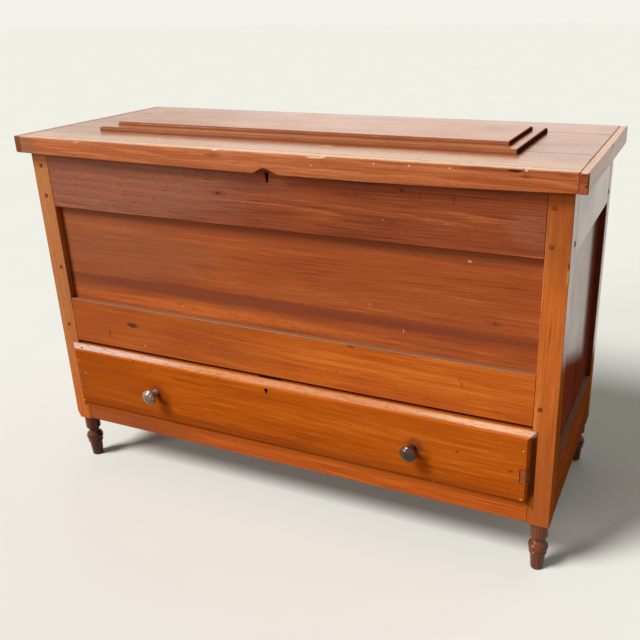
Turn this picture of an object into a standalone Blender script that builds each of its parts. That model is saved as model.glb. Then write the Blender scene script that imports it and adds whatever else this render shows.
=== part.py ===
"""Blanket chest: a post-and-panel case with one lipped drawer and a hinged lid, on turned feet.

The front faces -Y, the length runs along X and the floor is Z = 0. Every piece is drawn in a case frame
whose Y = 0 is the front face of the posts; one empty then moves the whole chest so that its bounding box
is centred over the origin. Sizes are metres.
"""

from math import cos, pi, radians, sin

import bmesh
import bpy
from mathutils import Matrix, Vector

MM = 0.001

# Fits
FIT = 0.3 * MM  # gap between pieces that touch
CUT_MARGIN = 5 * MM  # how far a cutter runs past the face that it opens
EASED_EDGE = 1.2 * MM  # small flat planed on the arrises
SMOOTH_ANGLE = 40  # degrees, for the shading of turned pieces

# Case: widths and depths
CASE_WIDTH = 1224 * MM
CASE_DEPTH = 490 * MM
POST_SIDE = 45 * MM
RAIL_THICKNESS = 26 * MM

# Case: heights
CASE_HEIGHT = 822 * MM  # from the floor to the top of the posts
FOOT_HEIGHT = 117 * MM
POST_DROP = 4 * MM  # the posts reach this far below the rails
BOTTOM_RAIL_HEIGHT = 46 * MM
DRAWER_OPENING_HEIGHT = 176.5 * MM
MIDDLE_RAIL_HEIGHT = 110.5 * MM
TOP_RAIL_HEIGHT = 140 * MM
END_BOTTOM_RAIL_HEIGHT = 131 * MM
BACK_RAIL_RISE = 27 * MM  # the wide bottom rail of the back, above the floor of the blanket space

# Joinery of rails, posts and panels
TENON_SETBACK = 12 * MM  # from the outer face of the rail
TENON_THICKNESS = 8 * MM
TENON_SHOULDER = 12 * MM  # above and below the tenon
TENON_WEB = 1 * MM  # wood left between the two tenons that meet in a post
TENON_ROOT = 10 * MM
PANEL_RECESS = 13 * MM
PANEL_THICKNESS = 12 * MM
PANEL_TONGUE = 6 * MM
PANEL_FIELD_MARGIN = 38 * MM  # bevel round the raised inner side
GROOVE_DEPTH = 8 * MM
SHRINKAGE_GAP = 0.8 * MM  # between a panel's tongue and the bottom of its groove

# Broken corner at the foot of the front left post
CHIP_WIDTH = 7 * MM
CHIP_HEIGHT = 19 * MM
CHIP_DEPTH = 26 * MM
CHIP_FOOT_RISE = 4 * MM
CHIP_KNEE_WIDTH = 4 * MM
CHIP_KNEE_RISE = 11 * MM

# Turned feet: heights above the floor, and radii
FOOT_SEGMENTS = 24
FOOT_TOE_RADIUS = 12.4 * MM
FOOT_TOE_ROUND = 2.5 * MM
FOOT_TOE_EDGE = 1.25 * MM
FOOT_TOE_LIFT = 0.6 * MM
FOOT_TAPER_HEIGHT = 37 * MM
FOOT_TAPER_RADIUS = 16 * MM
FOOT_RING_HEIGHT = 42.2 * MM
FOOT_RING_HALF = 4.4 * MM
FOOT_RING_RADIUS = 18.8 * MM
FOOT_RING_SWELL = 2.6 * MM
FOOT_RING_ANGLES = (65, 30, 0, -30, -65)
FOOT_BALL_HEIGHT = 55.5 * MM
FOOT_BALL_HALF = 11.5 * MM
FOOT_BALL_RADIUS = 21 * MM
FOOT_BALL_ANGLES = (75, 50, 25, 0, -25, -50)
FOOT_NECK_RADIUS = 12.7 * MM
FOOT_COLLAR_BOTTOM = 79 * MM
FOOT_COLLAR_RADIUS = 18.6 * MM
FOOT_COLLAR_ROUND = 5 * MM
FOOT_COLLAR_ANGLES = (0, 30, 60)
FOOT_FILLET = 1.6 * MM  # the narrow band under the collar
FOOT_COVE = 3 * MM  # height of the hollows above and below the neck
FOOT_GROOVE = 1 * MM  # depth of the turned grooves
FOOT_ARRIS = 2 * MM
DOWEL_RADIUS = 9 * MM
DOWEL_CLEARANCE = 2 * MM  # below the lowest tenons

# Floor of the blanket space
FLOOR_THICKNESS = 12 * MM
FLOOR_RISE = 12.5 * MM  # above the lower edge of the middle rail
FLOOR_SEAM = 240 * MM  # front face of the case to the joint between the boards
FLOOR_TONGUE = 4 * MM
FLOOR_TONGUE_LENGTH = 6 * MM
LEDGER_HEIGHT = 22 * MM

# Drawer
DRAWER_LEFT_LAP = 16.5 * MM  # lip over the left post
DRAWER_RIGHT_LAP = 9.75 * MM
DRAWER_SILL_LAP = 9 * MM  # lip over the bottom rail
DRAWER_HEAD_GAP = 7.2 * MM  # open gap under the middle rail
DRAWER_PROUD = 14.5 * MM
DRAWER_CHAMFER = 15.5 * MM  # width of the chamfers along the top and ends
DRAWER_FOOT_CHAMFER = 22 * MM
DRAWER_EDGE = 1 * MM  # thickness of the lip outside its chamfers
DRAWER_BODY = 12 * MM  # part of the front inside the opening
DRAWER_TOP_STEP = 1 * MM
DRAWER_SIDE_CLEARANCE = 2 * MM
DRAWER_REAR_CLEARANCE = 24 * MM
DRAWER_SIDE_THICKNESS = 12 * MM
DRAWER_SIDE_DROP = 5 * MM  # below the top of the front
DRAWER_BOTTOM_THICKNESS = 8 * MM
DRAWER_BOTTOM_RISE = 8 * MM
DRAWER_GROOVE_DEPTH = 6 * MM
DOVETAIL_COUNT = 4
DOVETAIL_BASE = 17 * MM
DOVETAIL_TIP = 22 * MM
DOVETAIL_COVER = 1 * MM  # wood of the drawer front's body in front of the tails
RUNNER_RISE = 1.7 * MM  # above the bottom rail
RUNNER_HEIGHT = 24 * MM
RUNNER_WIDTH = 26 * MM
RUNNER_STUB_LENGTH = 8 * MM
RUNNER_STUB_SHOULDER = 5 * MM
GUIDE_RISE = 30 * MM  # above the runner
PATCH_END_DISTANCE = 27.5 * MM  # from the end of the drawer front to the inner edge of the patch
PATCH_HEIGHT = 34 * MM
PATCH_DROP = 15.5 * MM  # middle of the patch below the middle of the front
PATCH_DEPTH = 6.5 * MM
PATCH_SINK = 1.2 * MM

# Knobs: distances out from the drawer's face, and radii
KNOB_SEGMENTS = 24
KNOB_END_DISTANCE = 252 * MM
KNOB_DROP = 3 * MM  # below the middle of the drawer's opening
KNOB_LENGTH = 36 * MM
KNOB_HEAD_RADIUS = 18.4 * MM
KNOB_HEAD_LENGTH = 20 * MM
KNOB_HEAD_ANGLES = (75, 55, 35, 15, -5, -25, -45, -62)
KNOB_TIP_RADIUS = 2.3 * MM
KNOB_NECK_RADIUS = 7.4 * MM
KNOB_NECK_TOP = 15.75 * MM
KNOB_NECK_BOTTOM = 7 * MM
KNOB_BASE_RADIUS = 9 * MM
KNOB_BASE_LENGTH = 0.8 * MM
KNOB_TENON_RADIUS = 5 * MM

# Lid
LID_BOARD_THICKNESS = 22 * MM
LID_EDGE_HEIGHT = 37 * MM
LID_STRIP_THICKNESS = 16 * MM
LID_END_CLEARANCE = 7 * MM
LID_FRONT_CLEARANCE = 3.6 * MM
LID_FRONT_SEAM = 135 * MM  # from the front face of the case
LID_REAR_SEAM = 124 * MM  # from the back of the case
LID_EASED_EDGE = 1.6 * MM
LID_BOW = 7 * MM  # the front strip hangs this much lower here than at its ends
LID_BOW_OFFSET = 170 * MM
LID_BOW_STATIONS = 16
LID_WORN_EDGE = 5 * MM  # front arris, rounded by hands where the strip hangs lowest
LID_WORN_ANGLES = (0, 30, 60, 90)
LID_WORN_CORNER = 7 * MM  # lower arris of the left end, worn round
LID_WORN_CORNER_ANGLES = (-90, -68, -45, -22, 0)
STEP_END_MARGIN = 148 * MM  # lid's edges to the lower raised panel
STEP_FRONT_MARGIN = 116.6 * MM
STEP_REAR_MARGIN = 130 * MM
STEP_END_INSET = 24 * MM  # lower to upper raised panel
STEP_SIDE_INSET = 35 * MM
STEP_LOWER_HEIGHT = 9 * MM
STEP_UPPER_HEIGHT = 7 * MM
STEP_NOSING = 3.5 * MM
NOSING_SEGMENTS = 3
NOTCH_OFFSET = 15 * MM
NOTCH_LEFT = 31 * MM
NOTCH_RIGHT = 40 * MM
NOTCH_HEIGHT = 12 * MM
NOTCH_STEPS = 8
NICK_OFFSET = 529 * MM  # small V broken out of the lid's front arris
NICK_WIDTH = 12 * MM
NICK_DEPTH = 9 * MM
NICK_REACH = 5 * MM  # how far back the V runs
NICK_MOUTH_RISE = 1 * MM  # the V's mouth above the lid

# Hinges
HINGE_END_DISTANCE = 212 * MM
HINGE_LENGTH = 50 * MM
HINGE_LEAF_DEPTH = 20 * MM
HINGE_LEAF_THICKNESS = 2 * MM
HINGE_BARREL_RADIUS = 4 * MM
HINGE_PIN_RADIUS = 2 * MM
HINGE_STANDOFF = 0.5 * MM  # barrel behind the back of the case
HINGE_KNUCKLE = 17 * MM  # the lid leaf's knuckle
HINGE_WEB_INSET = 0.1 * MM  # web from leaf to knuckle, thinner than the leaf
HINGE_SEGMENTS = 16

# Chest lock, let into the top rail from inside
KEYHOLE_OFFSET = 10 * MM
KEYHOLE_DROP = 22 * MM  # case top to the top of the keyhole
KEYHOLE_HEIGHT = 21 * MM
KEYHOLE_TOP_WIDTH = 9.5 * MM
KEYHOLE_FOOT_WIDTH = 5 * MM
KEYHOLE_FOOT_ANGLES = (180, 225, 270, 315, 360)
LOCK_WIDTH = 80 * MM
LOCK_HEIGHT = 60 * MM
LOCK_THICKNESS = 18 * MM
LOCK_LET_IN = 14 * MM
LOCK_KEY_ROOM = 16 * MM  # square pocket for the key's bit
LOCK_KEY_DEPTH = 13.5 * MM
BOLT_LENGTH = 44 * MM
BOLT_HEIGHT = 8 * MM
BOLT_THICKNESS = 4 * MM
BOLT_TRAVEL = 12 * MM
BOLT_DROP = 17 * MM  # case top to the bottom of the bolt
BOLT_STANDBACK = 3 * MM  # bolt's tip to the staple, drawn back
STAPLE_OFFSET = 13.3 * MM  # from the keyhole
STAPLE_THICKNESS = 4 * MM
STAPLE_DEPTH = 11 * MM
STAPLE_RIM = 2.5 * MM  # iron round the staple's eye
STAPLE_PLAY = 1 * MM
STAPLE_ENTRY_PLAY = 1.6 * MM  # the eye swings a little forward as the lid lifts
STAPLE_PLATE_LENGTH = 50 * MM
STAPLE_PLATE_DEPTH = 18 * MM
STAPLE_PLATE_THICKNESS = 2.5 * MM

# Drawer lock, let into the back of the drawer front
DRAWER_KEYHOLE_OFFSET = -21.5 * MM
DRAWER_KEYHOLE_DROP = 21 * MM  # top of the front to the middle of the round hole
DRAWER_KEYHOLE_RADIUS = 4.6 * MM
DRAWER_KEYHOLE_ANGLES = range(-60, 241, 20)
DRAWER_KEYHOLE_TAIL = 8 * MM
DRAWER_KEYHOLE_TAIL_WIDTH = 4 * MM
DRAWER_LOCK_WIDTH = 60 * MM
DRAWER_LOCK_HEIGHT = 42 * MM
DRAWER_LOCK_THICKNESS = 12 * MM
DRAWER_LOCK_LET_IN = 8 * MM
DRAWER_BOLT_WIDTH = 24 * MM
DRAWER_BOLT_HEIGHT = 26 * MM
DRAWER_BOLT_THICKNESS = 4 * MM
DRAWER_BOLT_SINK = 0.5 * MM  # drawn back below the top of its lock
DRAWER_BOLT_TRAVEL = 15 * MM
STRIKE_PLAY = 1.5 * MM  # round the thrown bolt in the middle rail

# Levels and lines worked out from the sizes above
RAIL_BASE = FOOT_HEIGHT + POST_DROP
DRAWER_SILL = RAIL_BASE + BOTTOM_RAIL_HEIGHT
DRAWER_HEAD = DRAWER_SILL + DRAWER_OPENING_HEIGHT
PANEL_SILL = DRAWER_HEAD + MIDDLE_RAIL_HEIGHT
PANEL_HEAD = CASE_HEIGHT - TOP_RAIL_HEIGHT
TENON_LENGTH = POST_SIDE - TENON_SETBACK - TENON_THICKNESS - TENON_WEB
DOWEL_LENGTH = POST_DROP + TENON_SHOULDER - DOWEL_CLEARANCE
WALL_INSIDE = max(RAIL_THICKNESS, PANEL_RECESS + PANEL_THICKNESS)
POST_INNER_X = CASE_WIDTH / 2 - POST_SIDE

FLOOR_BOTTOM = DRAWER_HEAD + FLOOR_RISE
FLOOR_TOP = FLOOR_BOTTOM + FLOOR_THICKNESS
RUNNER_TOP = DRAWER_SILL + RUNNER_RISE

DRAWER_HALF = POST_INNER_X - DRAWER_SIDE_CLEARANCE
DRAWER_FLOOR = RUNNER_TOP + FIT
DRAWER_TOP = DRAWER_HEAD - DRAWER_HEAD_GAP
DRAWER_LIP_BOTTOM = DRAWER_SILL - DRAWER_SILL_LAP
DRAWER_LIP_HALF = POST_INNER_X + (DRAWER_LEFT_LAP + DRAWER_RIGHT_LAP) / 2
DRAWER_LIP_MIDDLE = (DRAWER_RIGHT_LAP - DRAWER_LEFT_LAP) / 2
DRAWER_CHAMFER_SLOPE = DRAWER_CHAMFER / (DRAWER_PROUD - DRAWER_EDGE)
DRAWER_MIDDLE = (DRAWER_SILL + DRAWER_TOP) / 2
KNOB_HEIGHT = DRAWER_MIDDLE - KNOB_DROP
DRAWER_BODY_TOP = DRAWER_TOP - DRAWER_TOP_STEP
DRAWER_SIDE_TOP = DRAWER_BODY_TOP - DRAWER_SIDE_DROP
DRAWER_REAR = CASE_DEPTH - RAIL_THICKNESS - DRAWER_REAR_CLEARANCE
DRAWER_BOTTOM_LOW = DRAWER_FLOOR + DRAWER_BOTTOM_RISE
DRAWER_BACK_LOW = DRAWER_BOTTOM_LOW + DRAWER_BOTTOM_THICKNESS + FIT

LID_BOTTOM = CASE_HEIGHT + FIT
LID_TOP = LID_BOTTOM + LID_BOARD_THICKNESS
LID_EDGE_BOTTOM = LID_TOP - LID_EDGE_HEIGHT
LID_BOARD_HALF = CASE_WIDTH / 2 + LID_END_CLEARANCE
LID_HALF = LID_BOARD_HALF + LID_STRIP_THICKNESS
LID_FRONT = -LID_FRONT_CLEARANCE - LID_STRIP_THICKNESS

HINGE_AXIS_Y = CASE_DEPTH + HINGE_STANDOFF + HINGE_BARREL_RADIUS
HINGE_AXIS_Z = CASE_HEIGHT + FIT / 2
HINGE_X = CASE_WIDTH / 2 - HINGE_END_DISTANCE

LOCK_FRONT = RAIL_THICKNESS - LOCK_LET_IN + FIT
LOCK_MIDDLE = LOCK_FRONT + LOCK_THICKNESS / 2
STAPLE_X = KEYHOLE_OFFSET + STAPLE_OFFSET
BOLT_TIP = STAPLE_X - STAPLE_THICKNESS / 2 - BOLT_STANDBACK
BOLT_BOTTOM = CASE_HEIGHT - BOLT_DROP

DRAWER_LOCK_FRONT = DRAWER_BODY - DRAWER_LOCK_LET_IN + FIT
DRAWER_LOCK_MIDDLE = DRAWER_LOCK_FRONT + DRAWER_LOCK_THICKNESS / 2
DRAWER_BOLT_TOP = DRAWER_BODY_TOP - DRAWER_BOLT_SINK

OBJECT_FRONT = -DRAWER_PROUD - KNOB_LENGTH
OBJECT_BACK = HINGE_AXIS_Y + HINGE_BARREL_RADIUS
CENTRING_Y = -(OBJECT_FRONT + OBJECT_BACK) / 2

RAILS = {
    "front": {
        "top": (PANEL_HEAD, CASE_HEIGHT),
        "middle": (DRAWER_HEAD, PANEL_SILL),
        "bottom": (RAIL_BASE, DRAWER_SILL),
    },
    "left": {
        "top": (PANEL_HEAD, CASE_HEIGHT),
        "bottom": (RAIL_BASE, RAIL_BASE + END_BOTTOM_RAIL_HEIGHT),
    },
    "right": {
        "top": (PANEL_HEAD, CASE_HEIGHT),
        "bottom": (RAIL_BASE, RAIL_BASE + END_BOTTOM_RAIL_HEIGHT),
    },
    "back": {
        "top": (PANEL_HEAD, CASE_HEIGHT),
        "bottom": (RAIL_BASE, FLOOR_TOP + BACK_RAIL_RISE),
    },
}
PANEL_RAILS = {
    "front": ("middle", "top"),
    "left": ("bottom", "top"),
    "right": ("bottom", "top"),
    "back": ("bottom", "top"),
}
POST_WALLS = {
    "front_left": (("front", -1), ("left", 1)),
    "front_right": (("front", 1), ("right", -1)),
    "rear_right": (("back", -1), ("right", 1)),
    "rear_left": (("back", 1), ("left", -1)),
}
SIDES = {"left": -1, "right": 1}

# Finishes: colour, roughness and metallic value
FINISHES = {
    "cherry_case": ((0.30, 0.085, 0.025), 0.35, 0.0),
    "cherry_post": ((0.42, 0.14, 0.035), 0.35, 0.0),
    "cherry_lid": ((0.38, 0.12, 0.04), 0.3, 0.0),
    "cherry_drawer": ((0.36, 0.11, 0.025), 0.35, 0.0),
    "dark_turned_wood": ((0.08, 0.025, 0.012), 0.3, 0.0),
    "patch_wood": ((0.14, 0.05, 0.025), 0.5, 0.0),
    "inside_poplar": ((0.36, 0.22, 0.10), 0.7, 0.0),
    "old_iron": ((0.10, 0.09, 0.085), 0.5, 1.0),
}


def clear_scene():
    for item in list(bpy.data.objects):
        bpy.data.objects.remove(item)


def finish(name):
    """The Principled material of this name, made the first time it is asked for."""
    found = bpy.data.materials.get(name)
    if found:
        return found
    colour, roughness, metallic = FINISHES[name]
    made = bpy.data.materials.new(name)
    made.use_nodes = True
    shader = made.node_tree.nodes["Principled BSDF"]
    shader.inputs["Base Color"].default_value = (*colour, 1.0)
    shader.inputs["Roughness"].default_value = roughness
    shader.inputs["Metallic"].default_value = metallic
    return made


def object_from(name, shape):
    """A new scene object from a bmesh, with its faces pointing out."""
    bmesh.ops.recalc_face_normals(shape, faces=shape.faces)
    mesh = bpy.data.meshes.new(name)
    shape.to_mesh(mesh)
    shape.free()
    made = bpy.data.objects.new(name, mesh)
    bpy.context.scene.collection.objects.link(made)
    return made


def loft_shape(loops):
    """A closed bmesh through loops of equally many points, capped at both ends."""
    shape = bmesh.new()
    rings = [[shape.verts.new(point) for point in loop] for loop in loops]
    for first, second in zip(rings, rings[1:]):
        for index in range(len(first)):
            after = (index + 1) % len(first)
            shape.faces.new((first[index], first[after], second[after], second[index]))
    shape.faces.new(rings[0])
    shape.faces.new(rings[-1])
    return shape


def loft(name, loops, finish_name):
    made = object_from(name, loft_shape(loops))
    made.data.materials.append(finish(finish_name))
    return made


def ring(radius, height, segments):
    """Points of a level circle round Z."""
    turns = [2 * pi * step / segments for step in range(segments)]
    return [(radius * cos(turn), radius * sin(turn), height) for turn in turns]


def turned(name, profile, segments, finish_name):
    """A piece turned on a lathe: a profile of radius and height pairs, spun round Z and shaded smooth."""
    made = loft(name, [ring(radius, height, segments) for radius, height in profile], finish_name)
    made.data.shade_smooth()
    made.data.set_sharp_from_angle(angle=radians(SMOOTH_ANGLE))
    return made


def barrel(name, radius, ends):
    """A cylinder on the hinge axis between two X positions."""
    turns = [2 * pi * step / HINGE_SEGMENTS for step in range(HINGE_SEGMENTS)]
    circle = [(HINGE_AXIS_Y + radius * cos(turn), HINGE_AXIS_Z + radius * sin(turn)) for turn in turns]
    return loft(name, [[(x, y, z) for y, z in circle] for x in ends], "old_iron")


def prism(name, outline, ends, axis, finish_name="cherry_case"):
    """An outline drawn square to X or Y, run between two positions along that axis."""
    if axis == "x":
        loops = [[(end, u, z) for u, z in outline] for end in ends]
    else:
        loops = [[(u, end, z) for u, z in outline] for end in ends]
    return loft(name, loops, finish_name)


def mirrored(span, side):
    """A span of X values for the right side (1) or the left side (-1)."""
    return sorted((span[0] * side, span[1] * side))


def grown(box, gap):
    return tuple((low - gap, high + gap) for low, high in box)


def block_matrix(box):
    size = [high - low for low, high in box]
    centre = [(high + low) / 2 for low, high in box]
    return Matrix.Translation(centre) @ Matrix.Diagonal((*size, 1.0))


def block(name, box, finish_name, ease=0.0, segments=1):
    """A squared piece that fills a box of X, Y and Z spans, with eased arrises."""
    centre = Vector([(high + low) / 2 for low, high in box])
    shape = bmesh.new()
    bmesh.ops.create_cube(shape, size=1.0, matrix=Matrix.Translation(-centre) @ block_matrix(box))
    made = object_from(name, shape)
    made.location = centre
    made.data.materials.append(finish(finish_name))
    if ease:
        bevel = made.modifiers.new("eased arrises", "BEVEL")
        bevel.limit_method = "NONE"
        bevel.width = ease
        bevel.segments = segments
    return made


def boxes_object(name, boxes):
    shape = bmesh.new()
    for box in boxes:
        bmesh.ops.create_cube(shape, size=1.0, matrix=block_matrix(box))
    return object_from(name, shape)


def combine(piece, tool, operation, label):
    """Cut a tool out of a piece or add it, and keep the tool as a hidden guide that follows the piece."""
    tool.parent = piece
    tool.matrix_parent_inverse = Matrix.Translation(-piece.location)
    tool.hide_render = True
    tool.display_type = "WIRE"
    step = piece.modifiers.new(label, "BOOLEAN")
    step.operation = operation
    step.solver = "EXACT"
    step.object = tool


def cut(piece, tool, label):
    combine(piece, tool, "DIFFERENCE", label)


def cut_boxes(piece, boxes, label):
    cut(piece, boxes_object(f"{piece.name} {label}", boxes), label)


def add_boxes(piece, boxes, label):
    combine(piece, boxes_object(f"{piece.name} {label}", boxes), "UNION", label)


def wall_point(wall, along, depth):
    """X and Y of a point on a wall: along it from its middle, and in from its outer face."""
    if wall == "front":
        return along, depth
    if wall == "back":
        return -along, CASE_DEPTH - depth
    if wall == "right":
        return CASE_WIDTH / 2 - depth, CASE_DEPTH / 2 + along
    return depth - CASE_WIDTH / 2, CASE_DEPTH / 2 - along


def wall_box(wall, along, depth, height):
    corners = [wall_point(wall, a, d) for a, d in zip(along, depth)]
    xs = sorted(corner[0] for corner in corners)
    ys = sorted(corner[1] for corner in corners)
    return tuple(xs), tuple(ys), tuple(height)


def wall_loop(wall, half, height, depth):
    """A rectangle standing in a wall at one depth."""
    corners = ((-half, height[0]), (half, height[0]), (half, height[1]), (-half, height[1]))
    return [(*wall_point(wall, along, depth), z) for along, z in corners]


def half_span(wall):
    """Half the clear distance between a wall's two posts."""
    length = CASE_WIDTH if wall in ("front", "back") else CASE_DEPTH
    return length / 2 - POST_SIDE


def panel_opening(wall):
    low, high = PANEL_RAILS[wall]
    return RAILS[wall][low][1], RAILS[wall][high][0]


def tenon_box(wall, end, height):
    inner = half_span(wall)
    along = (end * (inner - TENON_ROOT), end * (inner + TENON_LENGTH))
    depth = (TENON_SETBACK, TENON_SETBACK + TENON_THICKNESS)
    return wall_box(wall, along, depth, (height[0] + TENON_SHOULDER, height[1] - TENON_SHOULDER))


def panel_groove_depth():
    return PANEL_RECESS - FIT, PANEL_RECESS + PANEL_TONGUE + FIT


def rail(wall, place, finish_name="cherry_case"):
    """A rail with a tenon at each end and, beside a panel, a groove along that edge."""
    height = RAILS[wall][place]
    inner = half_span(wall)
    body = wall_box(wall, (FIT - inner, inner - FIT), (0, RAIL_THICKNESS), height)
    made = block(f"{wall}_{place}_rail", body, finish_name, EASED_EDGE)
    add_boxes(made, [tenon_box(wall, end, height) for end in (-1, 1)], "tenons")
    sill_rail, head_rail = PANEL_RAILS[wall]
    if place == sill_rail:
        groove = (height[1] - GROOVE_DEPTH, height[1] + CUT_MARGIN)
    elif place == head_rail:
        groove = (height[0] - CUT_MARGIN, height[0] + GROOVE_DEPTH)
    else:
        return made
    along = (-inner - CUT_MARGIN, inner + CUT_MARGIN)
    cut_boxes(made, [wall_box(wall, along, panel_groove_depth(), groove)], "panel groove")
    return made


def panel(wall, finish_name="cherry_case"):
    """A panel flat outside and raised inside, whose thin edge slides in the grooves round it."""
    inner = half_span(wall)
    sill, head = panel_opening(wall)
    reach = GROOVE_DEPTH - SHRINKAGE_GAP
    tongue = PANEL_RECESS + PANEL_TONGUE
    field = PANEL_FIELD_MARGIN
    loops = [
        wall_loop(wall, inner + reach, (sill - reach, head + reach), PANEL_RECESS),
        wall_loop(wall, inner + reach, (sill - reach, head + reach), tongue),
        wall_loop(wall, inner - FIT, (sill + FIT, head - FIT), tongue),
        wall_loop(wall, inner - field, (sill + field, head - field), PANEL_RECESS + PANEL_THICKNESS),
    ]
    return loft(f"{wall}_panel", loops, finish_name)


def post_pockets(walls):
    """Mortises and panel grooves of a post, from the rails and panels of its two walls."""
    boxes = []
    for wall, end in walls:
        for height in RAILS[wall].values():
            boxes.append(grown(tenon_box(wall, end, height), FIT))
        sill, head = panel_opening(wall)
        inner = half_span(wall)
        along = (end * (inner - CUT_MARGIN), end * (inner + GROOVE_DEPTH))
        height = (sill - GROOVE_DEPTH, head + GROOVE_DEPTH)
        boxes.append(wall_box(wall, along, panel_groove_depth(), height))
    return boxes


def post_centre(name):
    end, side = name.split("_")
    x = SIDES[side] * (CASE_WIDTH - POST_SIDE) / 2
    y = POST_SIDE / 2 if end == "front" else CASE_DEPTH - POST_SIDE / 2
    return x, y


def post(name):
    x, y = post_centre(name)
    half = POST_SIDE / 2
    body = ((x - half, x + half), (y - half, y + half), (FOOT_HEIGHT, CASE_HEIGHT))
    made = block(f"{name}_post", body, "cherry_post", EASED_EDGE)
    cut_boxes(made, post_pockets(POST_WALLS[name]), "mortises and grooves")
    radius = DOWEL_RADIUS + FIT
    ends = (FOOT_HEIGHT + DOWEL_LENGTH + FIT, FOOT_HEIGHT - CUT_MARGIN)
    hole = turned(f"{name} dowel hole", [(radius, end) for end in ends], FOOT_SEGMENTS, "cherry_post")
    hole.location = (x, y, 0)
    cut(made, hole, "dowel hole")
    return made


def break_corner(left_post):
    """The splintered outer corner at the foot of the front left post."""
    outer = -CASE_WIDTH / 2
    outside = outer - CUT_MARGIN
    below = FOOT_HEIGHT - CUT_MARGIN
    outline = [
        (outside, below),
        (outer + CHIP_WIDTH, below),
        (outer + CHIP_WIDTH, FOOT_HEIGHT + CHIP_FOOT_RISE),
        (outer + CHIP_KNEE_WIDTH, FOOT_HEIGHT + CHIP_KNEE_RISE),
        (outer, FOOT_HEIGHT + CHIP_HEIGHT),
        (outside, FOOT_HEIGHT + CHIP_HEIGHT),
    ]
    cut(left_post, prism("broken corner", outline, (-CUT_MARGIN, CHIP_DEPTH), "y"), "broken corner")


def foot_profile():
    """Radius and height pairs from the dowel's top down to the toe."""
    seat = FOOT_HEIGHT - FIT
    collar = FOOT_COLLAR_RADIUS
    ball_swell = FOOT_BALL_RADIUS - FOOT_NECK_RADIUS
    ball = [radians(angle) for angle in FOOT_BALL_ANGLES]
    bead = [radians(angle) for angle in FOOT_RING_ANGLES]
    bead_root = FOOT_RING_RADIUS - FOOT_RING_SWELL
    roll = [radians(angle) for angle in FOOT_COLLAR_ANGLES]
    roll_root = collar - FOOT_COLLAR_ROUND
    roll_top = FOOT_COLLAR_BOTTOM + FOOT_COLLAR_ROUND
    fillet = FOOT_COLLAR_BOTTOM - FOOT_FILLET
    return [
        (DOWEL_RADIUS, FOOT_HEIGHT + DOWEL_LENGTH),
        (DOWEL_RADIUS, seat),
        (collar - FOOT_ARRIS, seat),
        (collar, seat - FOOT_ARRIS),
        *(
            (roll_root + FOOT_COLLAR_ROUND * cos(turn), roll_top - FOOT_COLLAR_ROUND * sin(turn))
            for turn in roll
        ),
        (FOOT_NECK_RADIUS + FOOT_FILLET, FOOT_COLLAR_BOTTOM),
        (FOOT_NECK_RADIUS + FOOT_FILLET, fillet),
        (FOOT_NECK_RADIUS, fillet - FOOT_COVE),
        (FOOT_NECK_RADIUS, FOOT_BALL_HEIGHT + FOOT_BALL_HALF + FOOT_COVE),
        *(
            (FOOT_NECK_RADIUS + ball_swell * cos(turn), FOOT_BALL_HEIGHT + FOOT_BALL_HALF * sin(turn))
            for turn in ball
        ),
        *(
            (bead_root + FOOT_RING_SWELL * cos(turn), FOOT_RING_HEIGHT + FOOT_RING_HALF * sin(turn))
            for turn in bead
        ),
        (FOOT_TAPER_RADIUS, FOOT_TAPER_HEIGHT),
        (FOOT_TOE_RADIUS + FOOT_GROOVE, FOOT_TOE_ROUND),
        (FOOT_TOE_RADIUS, FOOT_TOE_LIFT),
        (FOOT_TOE_RADIUS - FOOT_TOE_EDGE, 0),
    ]


def foot(name):
    made = turned(f"{name}_foot", foot_profile(), FOOT_SEGMENTS, "dark_turned_wood")
    made.location = (*post_centre(name), 0)
    return made


def keyhole_tool():
    """The chest keyhole: a slot that narrows to a round foot."""
    top = CASE_HEIGHT - KEYHOLE_DROP
    foot_radius = KEYHOLE_FOOT_WIDTH / 2
    foot_middle = top - KEYHOLE_HEIGHT + foot_radius
    turns = [radians(angle) for angle in KEYHOLE_FOOT_ANGLES]
    outline = [
        (KEYHOLE_OFFSET + KEYHOLE_TOP_WIDTH / 2, top),
        (KEYHOLE_OFFSET - KEYHOLE_TOP_WIDTH / 2, top),
        *(
            (KEYHOLE_OFFSET + foot_radius * cos(turn), foot_middle + foot_radius * sin(turn))
            for turn in turns
        ),
    ]
    return prism("chest keyhole", outline, (-CUT_MARGIN, RAIL_THICKNESS + CUT_MARGIN), "y")


def lock_box():
    x = (KEYHOLE_OFFSET - LOCK_WIDTH / 2, KEYHOLE_OFFSET + LOCK_WIDTH / 2)
    y = (LOCK_FRONT, LOCK_FRONT + LOCK_THICKNESS)
    return x, y, (CASE_HEIGHT - LOCK_HEIGHT, CASE_HEIGHT - FIT)


def front_top_rail():
    made = rail("front", "top")
    cut(made, keyhole_tool(), "keyhole")
    x, y, z = grown(lock_box(), FIT)
    pocket = (x, (y[0], y[1] + CUT_MARGIN), (z[0], z[1] + CUT_MARGIN))
    cut_boxes(made, [pocket], "lock pocket")
    return made


def front_middle_rail():
    """Grooved inside for the floor, and mortised underneath for the drawer lock's bolt."""
    made = rail("front", "middle")
    cut_boxes(made, [grown(floor_groove_box("front"), FIT)], "floor groove")
    x, y, z = drawer_bolt_box()
    thrown = (x, y, (DRAWER_HEAD - CUT_MARGIN, z[1] + DRAWER_BOLT_TRAVEL))
    cut_boxes(made, [grown(thrown, STRIKE_PLAY)], "bolt mortise")
    return made


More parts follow.
